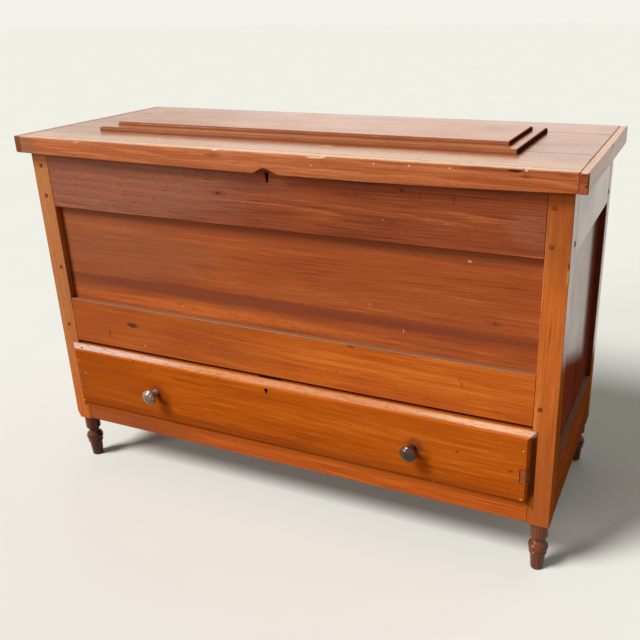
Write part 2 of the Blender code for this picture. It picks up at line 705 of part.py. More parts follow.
def runner_stub_box(side, wall):
    """The stub tenon of a runner in the front or back bottom rail."""
    middle = POST_INNER_X - FIT - RUNNER_WIDTH / 2
    half = RUNNER_WIDTH / 2 - RUNNER_STUB_SHOULDER
    x = mirrored((middle - half, middle + half), side)
    inner = RAIL_THICKNESS - RUNNER_STUB_LENGTH
    depth = (inner, RAIL_THICKNESS + TENON_ROOT)
    y = depth if wall == "front" else (CASE_DEPTH - depth[1], CASE_DEPTH - depth[0])
    bottom = RUNNER_TOP - RUNNER_HEIGHT + RUNNER_STUB_SHOULDER
    return x, y, (bottom, DRAWER_SILL - RUNNER_STUB_SHOULDER)


def bottom_rail(wall, finish_name):
    made = rail(wall, "bottom", finish_name)
    cut_boxes(made, [grown(runner_stub_box(side, wall), FIT) for side in SIDES.values()], "runner mortises")
    return made


def hinge_leaf_boxes(side):
    """The boxes of a hinge's case leaf and lid leaf, let in flush."""
    x = (side * HINGE_X - HINGE_LENGTH / 2, side * HINGE_X + HINGE_LENGTH / 2)
    y = (CASE_DEPTH - HINGE_LEAF_DEPTH, CASE_DEPTH)
    case_leaf = (x, y, (CASE_HEIGHT - HINGE_LEAF_THICKNESS, CASE_HEIGHT))
    lid_leaf = (x, y, (LID_BOTTOM, LID_BOTTOM + HINGE_LEAF_THICKNESS))
    return case_leaf, lid_leaf


def hinge_recess(box):
    x, y, z = grown(box, FIT)
    return x, (y[0], y[1] + CUT_MARGIN), z


def back_top_rail():
    made = rail("back", "top", "inside_poplar")
    recesses = [hinge_recess(hinge_leaf_boxes(side)[0]) for side in SIDES.values()]
    cut_boxes(made, recesses, "hinge recesses")
    return made


def back_bottom_rail():
    made = bottom_rail("back", "inside_poplar")
    cut_boxes(made, [grown(floor_groove_box("back"), FIT)], "floor groove")
    return made


def floor_groove_box(wall):
    """The edge of the floor that is housed in the front or the back."""
    half = half_span(wall) + CUT_MARGIN
    depth = (RAIL_THICKNESS - GROOVE_DEPTH, RAIL_THICKNESS + CUT_MARGIN)
    return wall_box(wall, (-half, half), depth, (FLOOR_BOTTOM, FLOOR_TOP))


def floor_corner_boxes():
    """Room for the four posts."""
    boxes = []
    for side in SIDES.values():
        x = mirrored((POST_INNER_X - FIT, CASE_WIDTH / 2), side)
        z = (FLOOR_BOTTOM - CUT_MARGIN, FLOOR_TOP + CUT_MARGIN)
        boxes.append((x, (-CUT_MARGIN, POST_SIDE + FIT), z))
        boxes.append((x, (CASE_DEPTH - POST_SIDE - FIT, CASE_DEPTH + CUT_MARGIN), z))
    return boxes


def floor_boards():
    """Two boards of the blanket space, tongued together and notched round the posts."""
    half = CASE_WIDTH / 2 - WALL_INSIDE - FIT
    x = (-half, half)
    z = (FLOOR_BOTTOM, FLOOR_TOP)
    housed = RAIL_THICKNESS - GROOVE_DEPTH + SHRINKAGE_GAP
    front = block("front_floor_board", (x, (housed, FLOOR_SEAM), z), "inside_poplar")
    rear = block("rear_floor_board", (x, (FLOOR_SEAM + FIT, CASE_DEPTH - housed), z), "inside_poplar")
    middle = (FLOOR_BOTTOM + FLOOR_TOP) / 2
    tongue_z = (middle - FLOOR_TONGUE / 2, middle + FLOOR_TONGUE / 2)
    tongue = (x, (FLOOR_SEAM - TENON_ROOT, FLOOR_SEAM + FLOOR_TONGUE_LENGTH), tongue_z)
    groove = grown(((-half - CUT_MARGIN, half + CUT_MARGIN), tongue[1], tongue_z), FIT)
    inset_tongue = ((-half + FIT, half - FIT), tongue[1], tongue_z)
    add_boxes(front, [inset_tongue], "tongue")
    cut_boxes(rear, [groove], "tongue groove")
    for board in (front, rear):
        cut_boxes(board, floor_corner_boxes(), "post notches")
    return [front, rear]


def between_posts():
    return POST_SIDE + FIT, CASE_DEPTH - POST_SIDE - FIT


def floor_ledger(side_name):
    """A strip between the posts of one end, under the floor boards."""
    outer = CASE_WIDTH / 2 - PANEL_RECESS - PANEL_THICKNESS - FIT
    x = mirrored((POST_INNER_X, outer), SIDES[side_name])
    z = (FLOOR_BOTTOM - FIT - LEDGER_HEIGHT, FLOOR_BOTTOM - FIT)
    return block(f"{side_name}_floor_ledger", (x, between_posts(), z), "inside_poplar", EASED_EDGE)


def drawer_runner(side_name):
    """The strip that a drawer side slides on, with stub tenons in the front and back rails."""
    side = SIDES[side_name]
    x = mirrored((POST_INNER_X - FIT - RUNNER_WIDTH, POST_INNER_X - FIT), side)
    y = (RAIL_THICKNESS + FIT, CASE_DEPTH - RAIL_THICKNESS - FIT)
    z = (RUNNER_TOP - RUNNER_HEIGHT, RUNNER_TOP)
    made = block(f"{side_name}_drawer_runner", (x, y, z), "inside_poplar")
    add_boxes(made, [runner_stub_box(side, wall) for wall in ("front", "back")], "stub tenons")
    return made


def drawer_guide(side_name):
    """The strip that keeps the drawer straight, flush with the inner faces of the posts."""
    x = mirrored((POST_INNER_X, CASE_WIDTH / 2 - RAIL_THICKNESS - FIT), SIDES[side_name])
    z = (RUNNER_TOP - RUNNER_HEIGHT, RUNNER_TOP + GUIDE_RISE)
    return block(f"{side_name}_drawer_guide", (x, between_posts(), z), "inside_poplar", EASED_EDGE)


def staple_eye_box():
    """The hanging eye of the lid's staple."""
    half = STAPLE_THICKNESS / 2
    y = (LOCK_MIDDLE - STAPLE_DEPTH / 2, LOCK_MIDDLE + STAPLE_DEPTH / 2)
    bottom = BOLT_BOTTOM - STAPLE_PLAY - STAPLE_RIM
    return (STAPLE_X - half, STAPLE_X + half), y, (bottom, LID_BOTTOM + STAPLE_PLATE_THICKNESS / 2)


def chest_bolt_box():
    y = (LOCK_MIDDLE - BOLT_THICKNESS / 2, LOCK_MIDDLE + BOLT_THICKNESS / 2)
    return (BOLT_TIP - BOLT_LENGTH, BOLT_TIP), y, (BOLT_BOTTOM, BOLT_BOTTOM + BOLT_HEIGHT)


def chest_lock_case():
    """An iron box with a bolt channel, a slot on top for the staple and a hole for the key."""
    made = block("chest_lock_case", lock_box(), "old_iron")
    x, y, z = chest_bolt_box()
    channel = grown(((x[0], x[1] + BOLT_TRAVEL), y, z), FIT)
    cut_boxes(made, [channel], "bolt channel")
    eye_x, eye_y, eye_z = grown(staple_eye_box(), STAPLE_ENTRY_PLAY)
    cut_boxes(made, [(eye_x, eye_y, (eye_z[0], CASE_HEIGHT + CUT_MARGIN))], "staple slot")
    key_x = (KEYHOLE_OFFSET - LOCK_KEY_ROOM / 2, KEYHOLE_OFFSET + LOCK_KEY_ROOM / 2)
    key_y = (LOCK_FRONT - CUT_MARGIN, LOCK_FRONT + LOCK_KEY_DEPTH)
    key_middle = CASE_HEIGHT - KEYHOLE_DROP - KEYHOLE_HEIGHT / 2
    key_z = (key_middle - LOCK_KEY_ROOM / 2, key_middle + LOCK_KEY_ROOM / 2)
    cut_boxes(made, [(key_x, key_y, key_z)], "key pocket")
    return made


def chest_lock_bolt():
    return block("chest_lock_bolt", chest_bolt_box(), "old_iron")


def hinge_knuckles(side):
    """X spans of the case leaf's two outer knuckles and of the lid leaf's middle one."""
    middle = side * HINGE_X
    half = HINGE_KNUCKLE / 2
    end = HINGE_LENGTH / 2
    outer = ((middle - end, middle - half - FIT), (middle + half + FIT, middle + end))
    return outer, ((middle - half, middle + half),)


def hinge_leaf(name, plate, knuckles):
    """A plate that wraps round the pin at its knuckles."""
    made = block(name, plate, "old_iron")
    web_y = (CASE_DEPTH - HINGE_LEAF_THICKNESS, HINGE_AXIS_Y)
    web_z = (plate[2][0] + HINGE_WEB_INSET, plate[2][1] - HINGE_WEB_INSET)
    add_boxes(made, [(span, web_y, web_z) for span in knuckles], "webs")
    for index, span in enumerate(knuckles):
        knuckle = barrel(f"{name} knuckle {index}", HINGE_BARREL_RADIUS, span)
        combine(made, knuckle, "UNION", f"knuckle {index}")
    ends = (plate[0][0] - CUT_MARGIN, plate[0][1] + CUT_MARGIN)
    cut(made, barrel(f"{name} bore", HINGE_PIN_RADIUS + FIT, ends), "pin bore")
    return made


def hinge(side_name):
    """Case leaf, lid leaf and pin of one hinge."""
    side = SIDES[side_name]
    case_plate, lid_plate = hinge_leaf_boxes(side)
    outer, inner = hinge_knuckles(side)
    case_leaf = hinge_leaf(f"{side_name}_hinge_case_leaf", case_plate, outer)
    lid_leaf = hinge_leaf(f"{side_name}_hinge_lid_leaf", lid_plate, inner)
    pin = barrel(f"{side_name}_hinge_pin", HINGE_PIN_RADIUS, case_plate[0])
    return case_leaf, lid_leaf, pin


def lid_boards():
    """Three boards edge to edge, the front one let in for the staple and the rear one for the hinges."""
    half = LID_BOARD_HALF - FIT
    z = (LID_BOTTOM, LID_TOP)
    rear_seam = CASE_DEPTH - LID_REAR_SEAM
    edges = {
        "front": (FIT - LID_FRONT_CLEARANCE, LID_FRONT_SEAM),
        "middle": (LID_FRONT_SEAM + FIT, rear_seam),
        "rear": (rear_seam + FIT, CASE_DEPTH),
    }
    boards = {
        place: block(f"lid_{place}_board", ((-half, half), y, z), "cherry_lid", FIT)
        for place, y in edges.items()
    }
    x, y, plate_z = grown(staple_plate_box(), FIT)
    cut_boxes(boards["front"], [(x, y, (plate_z[0] - CUT_MARGIN, plate_z[1]))], "staple recess")
    recesses = []
    for side in SIDES.values():
        x, y, z = hinge_recess(hinge_leaf_boxes(side)[1])
        recesses.append((x, y, (z[0] - CUT_MARGIN, z[1])))
    cut_boxes(boards["rear"], recesses, "hinge recesses")
    return list(boards.values())


def bow_share(x):
    """How much of the front strip's bow there is at a place along the lid, 1 where it hangs lowest."""
    end = LID_BOARD_HALF if x > LID_BOW_OFFSET else -LID_BOARD_HALF
    reach = (x - LID_BOW_OFFSET) / (end - LID_BOW_OFFSET)
    return 1 - reach * reach


def strip_bottom(x):
    return LID_EDGE_BOTTOM - LID_BOW * bow_share(x)


def strip_section(x):
    """Section of the front strip: square behind, eased below and rounded by hands on its front arris."""
    bottom = strip_bottom(x)
    worn = LID_EASED_EDGE + (LID_WORN_EDGE - LID_EASED_EDGE) * bow_share(x)
    turns = [radians(angle) for angle in LID_WORN_ANGLES]
    outline = [
        (LID_FRONT + LID_EASED_EDGE, bottom),
        (LID_FRONT, bottom + LID_EASED_EDGE),
        *((LID_FRONT + worn * (1 - cos(turn)), LID_TOP - worn * (1 - sin(turn))) for turn in turns),
        (-LID_FRONT_CLEARANCE, LID_TOP),
        (-LID_FRONT_CLEARANCE, bottom),
    ]
    return [(x, y, z) for y, z in outline]


def notch_point(x, share):
    """A point of the notch's ogee, at a share of the way in to its peak."""
    return x, strip_bottom(x) + NOTCH_HEIGHT * share * share * (3 - 2 * share)


def notch_tool():
    """The shaped notch over the keyhole: an ogee up each side to a rounded peak."""
    left = NOTCH_OFFSET - NOTCH_LEFT
    right = NOTCH_OFFSET + NOTCH_RIGHT
    shares = [step / NOTCH_STEPS for step in range(NOTCH_STEPS + 1)]
    rise = [notch_point(left + NOTCH_LEFT * share, share) for share in shares]
    fall = [notch_point(right - NOTCH_RIGHT * share, share) for share in reversed(shares[:-1])]
    below = LID_EDGE_BOTTOM - LID_BOW - CUT_MARGIN
    outline = [*rise, *fall, (right, below), (left, below)]
    return prism("notch over keyhole", outline, (LID_FRONT - CUT_MARGIN, 0), "y")


def nick_tool():
    """A small V broken out of the front arris."""
    mouth = LID_TOP + NICK_MOUTH_RISE
    outline = [
        (NICK_OFFSET - NICK_WIDTH / 2, mouth),
        (NICK_OFFSET, LID_TOP - NICK_DEPTH),
        (NICK_OFFSET + NICK_WIDTH / 2, mouth),
    ]
    return prism("nick", outline, (LID_FRONT - CUT_MARGIN, LID_FRONT + NICK_REACH), "y")


def worn_corner_tool():
    """The wood worn off the lower arris of the lid's left end."""
    x = LID_WORN_CORNER - LID_HALF
    z = LID_EDGE_BOTTOM + LID_WORN_CORNER
    turns = [radians(angle) for angle in LID_WORN_CORNER_ANGLES]
    outline = [(x - LID_WORN_CORNER * cos(turn), z + LID_WORN_CORNER * sin(turn)) for turn in turns]
    outside = -LID_HALF - CUT_MARGIN
    below = LID_EDGE_BOTTOM - CUT_MARGIN
    outline.extend([(outside, z), (outside, below), (x, below)])
    return prism("worn corner", outline, (LID_FRONT - CUT_MARGIN, CASE_DEPTH + CUT_MARGIN), "y")


def lid_strips():
    """The front strip between the two end strips, all hanging a little below the boards."""
    half = LID_BOARD_HALF
    start = FIT - half
    pitch = -2 * start / LID_BOW_STATIONS
    stations = [start + pitch * step for step in range(LID_BOW_STATIONS + 1)]
    front = loft("lid_front_strip", [strip_section(x) for x in stations], "cherry_lid")
    cut(front, notch_tool(), "notch over keyhole")
    cut(front, nick_tool(), "nick")
    ends = {}
    for name, side in SIDES.items():
        box = (mirrored((half, LID_HALF), side), (LID_FRONT, CASE_DEPTH), (LID_EDGE_BOTTOM, LID_TOP))
        ends[name] = block(f"lid_{name}_end_strip", box, "cherry_lid", LID_EASED_EDGE)
    cut(ends["left"], worn_corner_tool(), "worn corner")
    return [front, *ends.values()]


def raised_panels():
    """The two boards stepped up on the lid, with nosed edges."""
    x = (STEP_END_MARGIN - LID_HALF, LID_HALF - STEP_END_MARGIN)
    y = (LID_FRONT + STEP_FRONT_MARGIN, CASE_DEPTH - STEP_REAR_MARGIN)
    lower_z = (LID_TOP + FIT, LID_TOP + FIT + STEP_LOWER_HEIGHT)
    upper_z = (lower_z[1] + FIT, lower_z[1] + FIT + STEP_UPPER_HEIGHT)
    upper_x = (x[0] + STEP_END_INSET, x[1] - STEP_END_INSET)
    upper_y = (y[0] + STEP_SIDE_INSET, y[1] - STEP_SIDE_INSET)
    lower = block("lid_lower_raised_panel", (x, y, lower_z), "cherry_lid")
    upper = block("lid_upper_raised_panel", (upper_x, upper_y, upper_z), "cherry_lid")
    for made in (lower, upper):
        nose_top(made)
    return [lower, upper]


def nose_top(piece):
    """Round the four upper edges of a block."""
    shape = bmesh.new()
    shape.from_mesh(piece.data)
    top = max(vertex.co.z for vertex in shape.verts)
    edges = [edge for edge in shape.edges if all(vertex.co.z == top for vertex in edge.verts)]
    bmesh.ops.bevel(
        shape, geom=edges, offset=STEP_NOSING, segments=NOSING_SEGMENTS, profile=0.5, affect="EDGES"
    )
    shape.to_mesh(piece.data)
    shape.free()


def staple_plate_box():
    x = (STAPLE_X - STAPLE_PLATE_LENGTH / 2, STAPLE_X + STAPLE_PLATE_LENGTH / 2)
    y = (LOCK_MIDDLE - STAPLE_PLATE_DEPTH / 2, LOCK_MIDDLE + STAPLE_PLATE_DEPTH / 2)
    return x, y, (LID_BOTTOM, LID_BOTTOM + STAPLE_PLATE_THICKNESS)


def chest_lock_staple():
    """A plate under the lid with an eye that drops into the lock."""
    made = block("chest_lock_staple", staple_plate_box(), "old_iron")
    eye = staple_eye_box()
    add_boxes(made, [eye], "eye")
    x, y, z = chest_bolt_box()
    through = ((eye[0][0] - CUT_MARGIN, eye[0][1] + CUT_MARGIN), y, z)
    hole_y = (y[0] - STAPLE_PLAY, y[1] + STAPLE_PLAY)
    hole_z = (z[0] - STAPLE_PLAY, z[1] + STAPLE_PLAY)
    cut_boxes(made, [(through[0], hole_y, hole_z)], "eye opening")
    return made


def level_loop(half, height, y, middle=0.0):
    """A rectangle square to Y, this far to each side of a middle."""
    x0, x1 = middle - half, middle + half
    return [(x0, y, height[0]), (x1, y, height[0]), (x1, y, height[1]), (x0, y, height[1])]


def lip_x(side, distance):
    """The X position this far in from an end of the drawer front."""
    return DRAWER_LIP_MIDDLE + side * (DRAWER_LIP_HALF - distance)


def dovetails(base, tip, low, high):
    """Outlines of a row of tails in Y and Z, each narrow at its base and wide at its tip."""
    pitch = (high - low) / DOVETAIL_COUNT
    tails = []
    for index in range(DOVETAIL_COUNT):
        middle = low + pitch * (index + 0.5)
        tails.append(
            [
                (base, middle - DOVETAIL_BASE / 2),
                (tip, middle - DOVETAIL_TIP / 2),
                (tip, middle + DOVETAIL_TIP / 2),
                (base, middle + DOVETAIL_BASE / 2),
            ]
        )
    return tails


def front_tails():
    return dovetails(DRAWER_BODY + FIT, DOVETAIL_COVER, DRAWER_FLOOR, DRAWER_SIDE_TOP)


def rear_tails():
    base = DRAWER_REAR - DRAWER_SIDE_THICKNESS - FIT
    return dovetails(base, DRAWER_REAR, DRAWER_BACK_LOW, DRAWER_SIDE_TOP)


def cut_tail_sockets(piece, tails):
    """Sockets that the tails of both drawer sides fit."""
    for side in SIDES.values():
        x = mirrored((DRAWER_HALF - DRAWER_SIDE_THICKNESS - FIT, DRAWER_HALF + CUT_MARGIN), side)
        for index, tail in enumerate(tails):
            middle = sum(z for _, z in tail) / len(tail)
            direction = 1 if tail[1][0] > tail[0][0] else -1
            socket = []
            for (y, z), outward in zip(tail, (-1, 1, 1, -1)):
                spread = FIT if z > middle else -FIT
                reach = FIT if outward > 0 else 2 * FIT
                socket.append((y + direction * outward * reach, z + spread))
            label = f"tail socket {side} {index}"
            cut(piece, prism(f"{piece.name} {label}", socket, x, "x"), label)


def drawer_bolt_box():
    x = (DRAWER_KEYHOLE_OFFSET - DRAWER_BOLT_WIDTH / 2, DRAWER_KEYHOLE_OFFSET + DRAWER_BOLT_WIDTH / 2)
    half = DRAWER_BOLT_THICKNESS / 2
    y = (DRAWER_LOCK_MIDDLE - half, DRAWER_LOCK_MIDDLE + half)
    return x, y, (DRAWER_BOLT_TOP - DRAWER_BOLT_HEIGHT, DRAWER_BOLT_TOP)


def drawer_lock_box():
    x = (DRAWER_KEYHOLE_OFFSET - DRAWER_LOCK_WIDTH / 2, DRAWER_KEYHOLE_OFFSET + DRAWER_LOCK_WIDTH / 2)
    y = (DRAWER_LOCK_FRONT, DRAWER_LOCK_FRONT + DRAWER_LOCK_THICKNESS)
    return x, y, (DRAWER_BODY_TOP - DRAWER_LOCK_HEIGHT, DRAWER_BODY_TOP - FIT)


def drawer_keyhole_tool():
    """A round hole with a short tail."""
    middle = DRAWER_TOP - DRAWER_KEYHOLE_DROP
    turns = [radians(angle) for angle in DRAWER_KEYHOLE_ANGLES]
    radius = DRAWER_KEYHOLE_RADIUS
    half = DRAWER_KEYHOLE_TAIL_WIDTH / 2
    outline = [
        *(
            (DRAWER_KEYHOLE_OFFSET + radius * cos(turn), middle + radius * sin(turn))
            for turn in turns
        ),
        (DRAWER_KEYHOLE_OFFSET - half, middle - DRAWER_KEYHOLE_TAIL),
        (DRAWER_KEYHOLE_OFFSET + half, middle - DRAWER_KEYHOLE_TAIL),
    ]
    return prism("drawer keyhole", outline, (-DRAWER_PROUD - CUT_MARGIN, DRAWER_BODY), "y")


def knob_x(side):
    return lip_x(side, KNOB_END_DISTANCE)


def patch_heights():
    middle = DRAWER_MIDDLE - PATCH_DROP
    return middle - PATCH_HEIGHT / 2, middle + PATCH_HEIGHT / 2


def drawer_front():
    """A front with chamfered lips over the posts and the bottom rail, and a body inside the opening."""
    outline = (DRAWER_LIP_BOTTOM, DRAWER_TOP)
    inset = (DRAWER_LIP_BOTTOM + DRAWER_FOOT_CHAMFER, DRAWER_TOP - DRAWER_CHAMFER)
    body = (DRAWER_FLOOR, DRAWER_BODY_TOP)
    made = loft(
        "drawer_front",
        [
            level_loop(DRAWER_LIP_HALF - DRAWER_CHAMFER, inset, -DRAWER_PROUD, DRAWER_LIP_MIDDLE),
            level_loop(DRAWER_LIP_HALF, outline, -DRAWER_EDGE, DRAWER_LIP_MIDDLE),
            level_loop(DRAWER_LIP_HALF, outline, -FIT, DRAWER_LIP_MIDDLE),
            level_loop(DRAWER_HALF, body, -FIT),
            level_loop(DRAWER_HALF, body, DRAWER_BODY),
        ],
        "cherry_drawer",
    )
    cut_tail_sockets(made, front_tails())
    bottom = drawer_bottom_box()
    groove_half = DRAWER_HALF - DRAWER_SIDE_THICKNESS + DRAWER_GROOVE_DEPTH
    groove_y = (DRAWER_BODY - DRAWER_GROOVE_DEPTH, DRAWER_BODY + CUT_MARGIN)
    groove_z = (bottom[2][0] - FIT, bottom[2][1] + FIT)
    cut_boxes(made, [((-groove_half, groove_half), groove_y, groove_z)], "bottom groove")
    x, y, z = grown(drawer_lock_box(), FIT)
    cut_boxes(made, [(x, (y[0], y[1] + CUT_MARGIN), (z[0], z[1] + CUT_MARGIN))], "lock pocket")
    cut(made, drawer_keyhole_tool(), "keyhole")
    low, high = patch_heights()
    patch_y = (-DRAWER_PROUD - CUT_MARGIN, PATCH_DEPTH - DRAWER_PROUD)
    pockets = []
    for side in SIDES.values():
        x = sorted((lip_x(side, PATCH_END_DISTANCE), lip_x(side, -CUT_MARGIN)))
        pockets.append((x, patch_y, (low, high)))
    cut_boxes(made, pockets, "patch pockets")
    radius = KNOB_TENON_RADIUS + FIT
    ends = (DRAWER_PROUD + CUT_MARGIN, -DRAWER_BODY - CUT_MARGIN)
    for name, side in SIDES.items():
        hole = turned(f"{name} knob hole", [(radius, end) for end in ends], KNOB_SEGMENTS, "cherry_drawer")
        hole.rotation_euler = (radians(90), 0, 0)
        hole.location = (knob_x(side), 0, KNOB_HEIGHT)
        cut(made, hole, f"{name} knob hole")
    return made


def drawer_side(side_name):
    """A side with a row of tails at each end and a groove for the bottom."""
    front_shoulder = DRAWER_BODY + FIT
    rear_shoulder = DRAWER_REAR - DRAWER_SIDE_THICKNESS - FIT
    heel = DRAWER_BACK_LOW - FIT
    outline = [(front_shoulder, DRAWER_FLOOR), (DRAWER_REAR, DRAWER_FLOOR)]
    outline.extend([(DRAWER_REAR, heel), (rear_shoulder, heel)])
    for tail in rear_tails():
        outline.extend(tail)
    outline.extend([(rear_shoulder, DRAWER_SIDE_TOP), (front_shoulder, DRAWER_SIDE_TOP)])
    for tail in reversed(front_tails()):
        outline.extend(reversed(tail))
    side = SIDES[side_name]
    x = mirrored((DRAWER_HALF - DRAWER_SIDE_THICKNESS, DRAWER_HALF), side)
    made = prism(f"drawer_{side_name}_side", outline, x, "x", "inside_poplar")
    inner = DRAWER_HALF - DRAWER_SIDE_THICKNESS
    groove_x = mirrored((inner - CUT_MARGIN, inner + DRAWER_GROOVE_DEPTH), side)
    bottom_z = drawer_bottom_box()[2]
    groove = (groove_x, (-CUT_MARGIN, DRAWER_REAR + CUT_MARGIN), (bottom_z[0] - FIT, bottom_z[1] + FIT))
    cut_boxes(made, [groove], "bottom groove")
    return made


def drawer_bottom_box():
    half = DRAWER_HALF - DRAWER_SIDE_THICKNESS + DRAWER_GROOVE_DEPTH - SHRINKAGE_GAP
    y = (DRAWER_BODY - DRAWER_GROOVE_DEPTH + SHRINKAGE_GAP, DRAWER_REAR)
    return (-half, half), y, (DRAWER_BOTTOM_LOW, DRAWER_BOTTOM_LOW + DRAWER_BOTTOM_THICKNESS)


def drawer_back():
    """The back, pinned between the tails of the sides and standing on the bottom."""
    y = (DRAWER_REAR - DRAWER_SIDE_THICKNESS, DRAWER_REAR)
    box = ((-DRAWER_HALF, DRAWER_HALF), y, (DRAWER_BACK_LOW, DRAWER_SIDE_TOP))
    made = block("drawer_back", box, "inside_poplar")
    cut_tail_sockets(made, rear_tails())
    return made


def knob_profile():
    """Radius and distance out from the drawer's face, from the head down to the tenon's end."""
    head_middle = KNOB_LENGTH - KNOB_HEAD_LENGTH / 2
    head_half = KNOB_HEAD_LENGTH / 2
    head = [radians(angle) for angle in KNOB_HEAD_ANGLES]
    return [
        (KNOB_TIP_RADIUS, KNOB_LENGTH),
        *((KNOB_HEAD_RADIUS * cos(turn), head_middle + head_half * sin(turn)) for turn in head),
        (KNOB_NECK_RADIUS, KNOB_NECK_TOP),
        (KNOB_NECK_RADIUS, KNOB_NECK_BOTTOM),
        (KNOB_BASE_RADIUS, KNOB_BASE_LENGTH),
        (KNOB_BASE_RADIUS, FIT),
        (KNOB_TENON_RADIUS, FIT),
        (KNOB_TENON_RADIUS, -DRAWER_PROUD - DRAWER_BODY),
    ]


def knob(side_name):
    made = turned(f"drawer_{side_name}_knob", knob_profile(), KNOB_SEGMENTS, "dark_turned_wood")
    made.rotation_euler = (radians(90), 0, 0)
    made.location = (knob_x(SIDES[side_name]), -DRAWER_PROUD, KNOB_HEIGHT)
    return made


def drawer_patch(side_name):
    """A block let into the end of the drawer front, cut off along its chamfer and sunk a little."""
    side = SIDES[side_name]
    low, high = patch_heights()
    height = (low + FIT, high - FIT)
    x0 = lip_x(side, PATCH_END_DISTANCE - FIT)
    loops = []
    for depth in (PATCH_SINK, PATCH_DEPTH - FIT):
        x1 = lip_x(side, DRAWER_CHAMFER - depth * DRAWER_CHAMFER_SLOPE + PATCH_SINK)
        y = depth - DRAWER_PROUD
        loops.append([(x0, y, height[0]), (x1, y, height[0]), (x1, y, height[1]), (x0, y, height[1])])
    return loft(f"drawer_{side_name}_patch", loops, "patch_wood")


def drawer_lock_case():
    """An iron box with a channel for the bolt that opens at its top, and a hole for the key."""
    made = block("drawer_lock_case", drawer_lock_box(), "old_iron")
    x, y, z = grown(drawer_bolt_box(), FIT)
    cut_boxes(made, [(x, y, (z[0], z[1] + CUT_MARGIN))], "bolt channel")
    radius = DRAWER_KEYHOLE_RADIUS
    ends = (DRAWER_LOCK_MIDDLE, DRAWER_LOCK_FRONT - CUT_MARGIN)
    key = turned("drawer key pocket", [(radius, end) for end in ends], HINGE_SEGMENTS, "old_iron")
    key.rotation_euler = (radians(-90), 0, 0)
    key.location = (DRAWER_KEYHOLE_OFFSET, 0, DRAWER_TOP - DRAWER_KEYHOLE_DROP)
    cut(made, key, "key pocket")
    return made


def drawer_lock_bolt():
    return block("drawer_lock_bolt", drawer_bolt_box(), "old_iron")


def case_pieces():
    """Everything that stands still."""
    left_post = post("front_left")
    break_corner(left_post)
    pieces = [left_post]
    pieces.extend(post(name) for name in POST_WALLS if name != "front_left")
    pieces.extend(foot(name) for name in POST_WALLS)
    pieces.extend([front_top_rail(), panel("front"), front_middle_rail()])
    pieces.append(bottom_rail("front", "cherry_case"))
    for wall in SIDES:
        pieces.extend([rail(wall, "top"), panel(wall), rail(wall, "bottom")])
        pieces.extend([floor_ledger(wall), drawer_runner(wall), drawer_guide(wall)])
    pieces.extend([back_top_rail(), panel("back", "inside_poplar"), back_bottom_rail()])
    pieces.extend(floor_boards())
    pieces.append(chest_lock_case())
    return pieces


def drawer_pieces():
    pieces = [drawer_front(), drawer_back()]
    pieces.append(block("drawer_bottom", drawer_bottom_box(), "inside_poplar"))
    for name in SIDES:
        pieces.extend([drawer_side(name), knob(name), drawer_patch(name)])
    pieces.append(drawer_lock_case())
    return pieces


def pivot(name, parent, place):
    """An empty that carries the pieces of one moving body."""
    made = bpy.data.objects.new(name, None)
    bpy.context.scene.collection.objects.link(made)
    made.parent = parent
    made.location = place
    return made


def carry(empty, pieces, place):
    """Hang pieces on an empty without moving them."""
    for piece in pieces:
        piece.parent = empty
        piece.matrix_parent_inverse = Matrix.Translation(-Vector(place))


def build():
    clear_scene()
    fixed = case_pieces()
    lid = [*lid_boards(), *lid_strips(), *raised_panels(), chest_lock_staple()]
    for side_name in SIDES:
        case_leaf, lid_leaf, pin = hinge(side_name)
        fixed.extend([case_leaf, pin])
        lid.append(lid_leaf)
    chest = pivot("chest", None, (0, CENTRING_Y, 0))
    carry(chest, fixed, (0, 0, 0))
    lid_place = (0, HINGE_AXIS_Y, HINGE_AXIS_Z)
    carry(pivot("lid_axis", chest, lid_place), lid, lid_place)
    drawer_place = (0, 0, DRAWER_MIDDLE)
    drawer = pivot("drawer_slide", chest, drawer_place)
    carry(drawer, drawer_pieces(), drawer_place)
    carry(drawer, [drawer_lock_bolt()], drawer_place)
    carry(chest, [chest_lock_bolt()], (0, 0, 0))


build()
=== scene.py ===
"""Looks of the blanket chest: varnished cherry boards, dark turned feet and knobs, old iron.

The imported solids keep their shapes. This script gives each piece its wood or iron, adds the small
fasteners (pegs, nails and screws) and sets the floor, the light and the photograph's camera.
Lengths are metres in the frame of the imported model: X along the chest, Z up, front towards -Y.
"""

from collections import namedtuple
from math import cos, pi, radians, sin

import bmesh
import bpy
from mathutils import Matrix, Vector


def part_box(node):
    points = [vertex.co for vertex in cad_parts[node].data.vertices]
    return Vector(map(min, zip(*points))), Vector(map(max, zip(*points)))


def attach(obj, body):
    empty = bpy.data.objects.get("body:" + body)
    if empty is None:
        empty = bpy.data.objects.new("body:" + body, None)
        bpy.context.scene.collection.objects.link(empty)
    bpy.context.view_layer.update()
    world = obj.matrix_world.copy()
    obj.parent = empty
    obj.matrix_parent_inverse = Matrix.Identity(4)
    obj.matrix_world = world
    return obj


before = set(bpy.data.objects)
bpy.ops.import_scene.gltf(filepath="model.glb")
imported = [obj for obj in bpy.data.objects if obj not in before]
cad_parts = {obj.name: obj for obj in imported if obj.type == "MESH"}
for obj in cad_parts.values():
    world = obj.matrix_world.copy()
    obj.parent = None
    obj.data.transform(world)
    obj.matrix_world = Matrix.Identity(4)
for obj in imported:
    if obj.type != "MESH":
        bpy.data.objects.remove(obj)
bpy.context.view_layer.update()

MM = 0.001

# Camera of the photograph
CAMERA_PLACE = (0.8172, -1.5390, 1.1195)
CAMERA_AZIMUTH = 24.444
CAMERA_ELEVATION = 22.048
CAMERA_ROLL = -1.331
PICTURE_WIDTH = 640  # pixels
FOCAL_LENGTH = 777.53  # pixels
LENS_CENTRE = (365.91, 310.89)  # pixels
SENSOR_WIDTH = 36  # millimetres

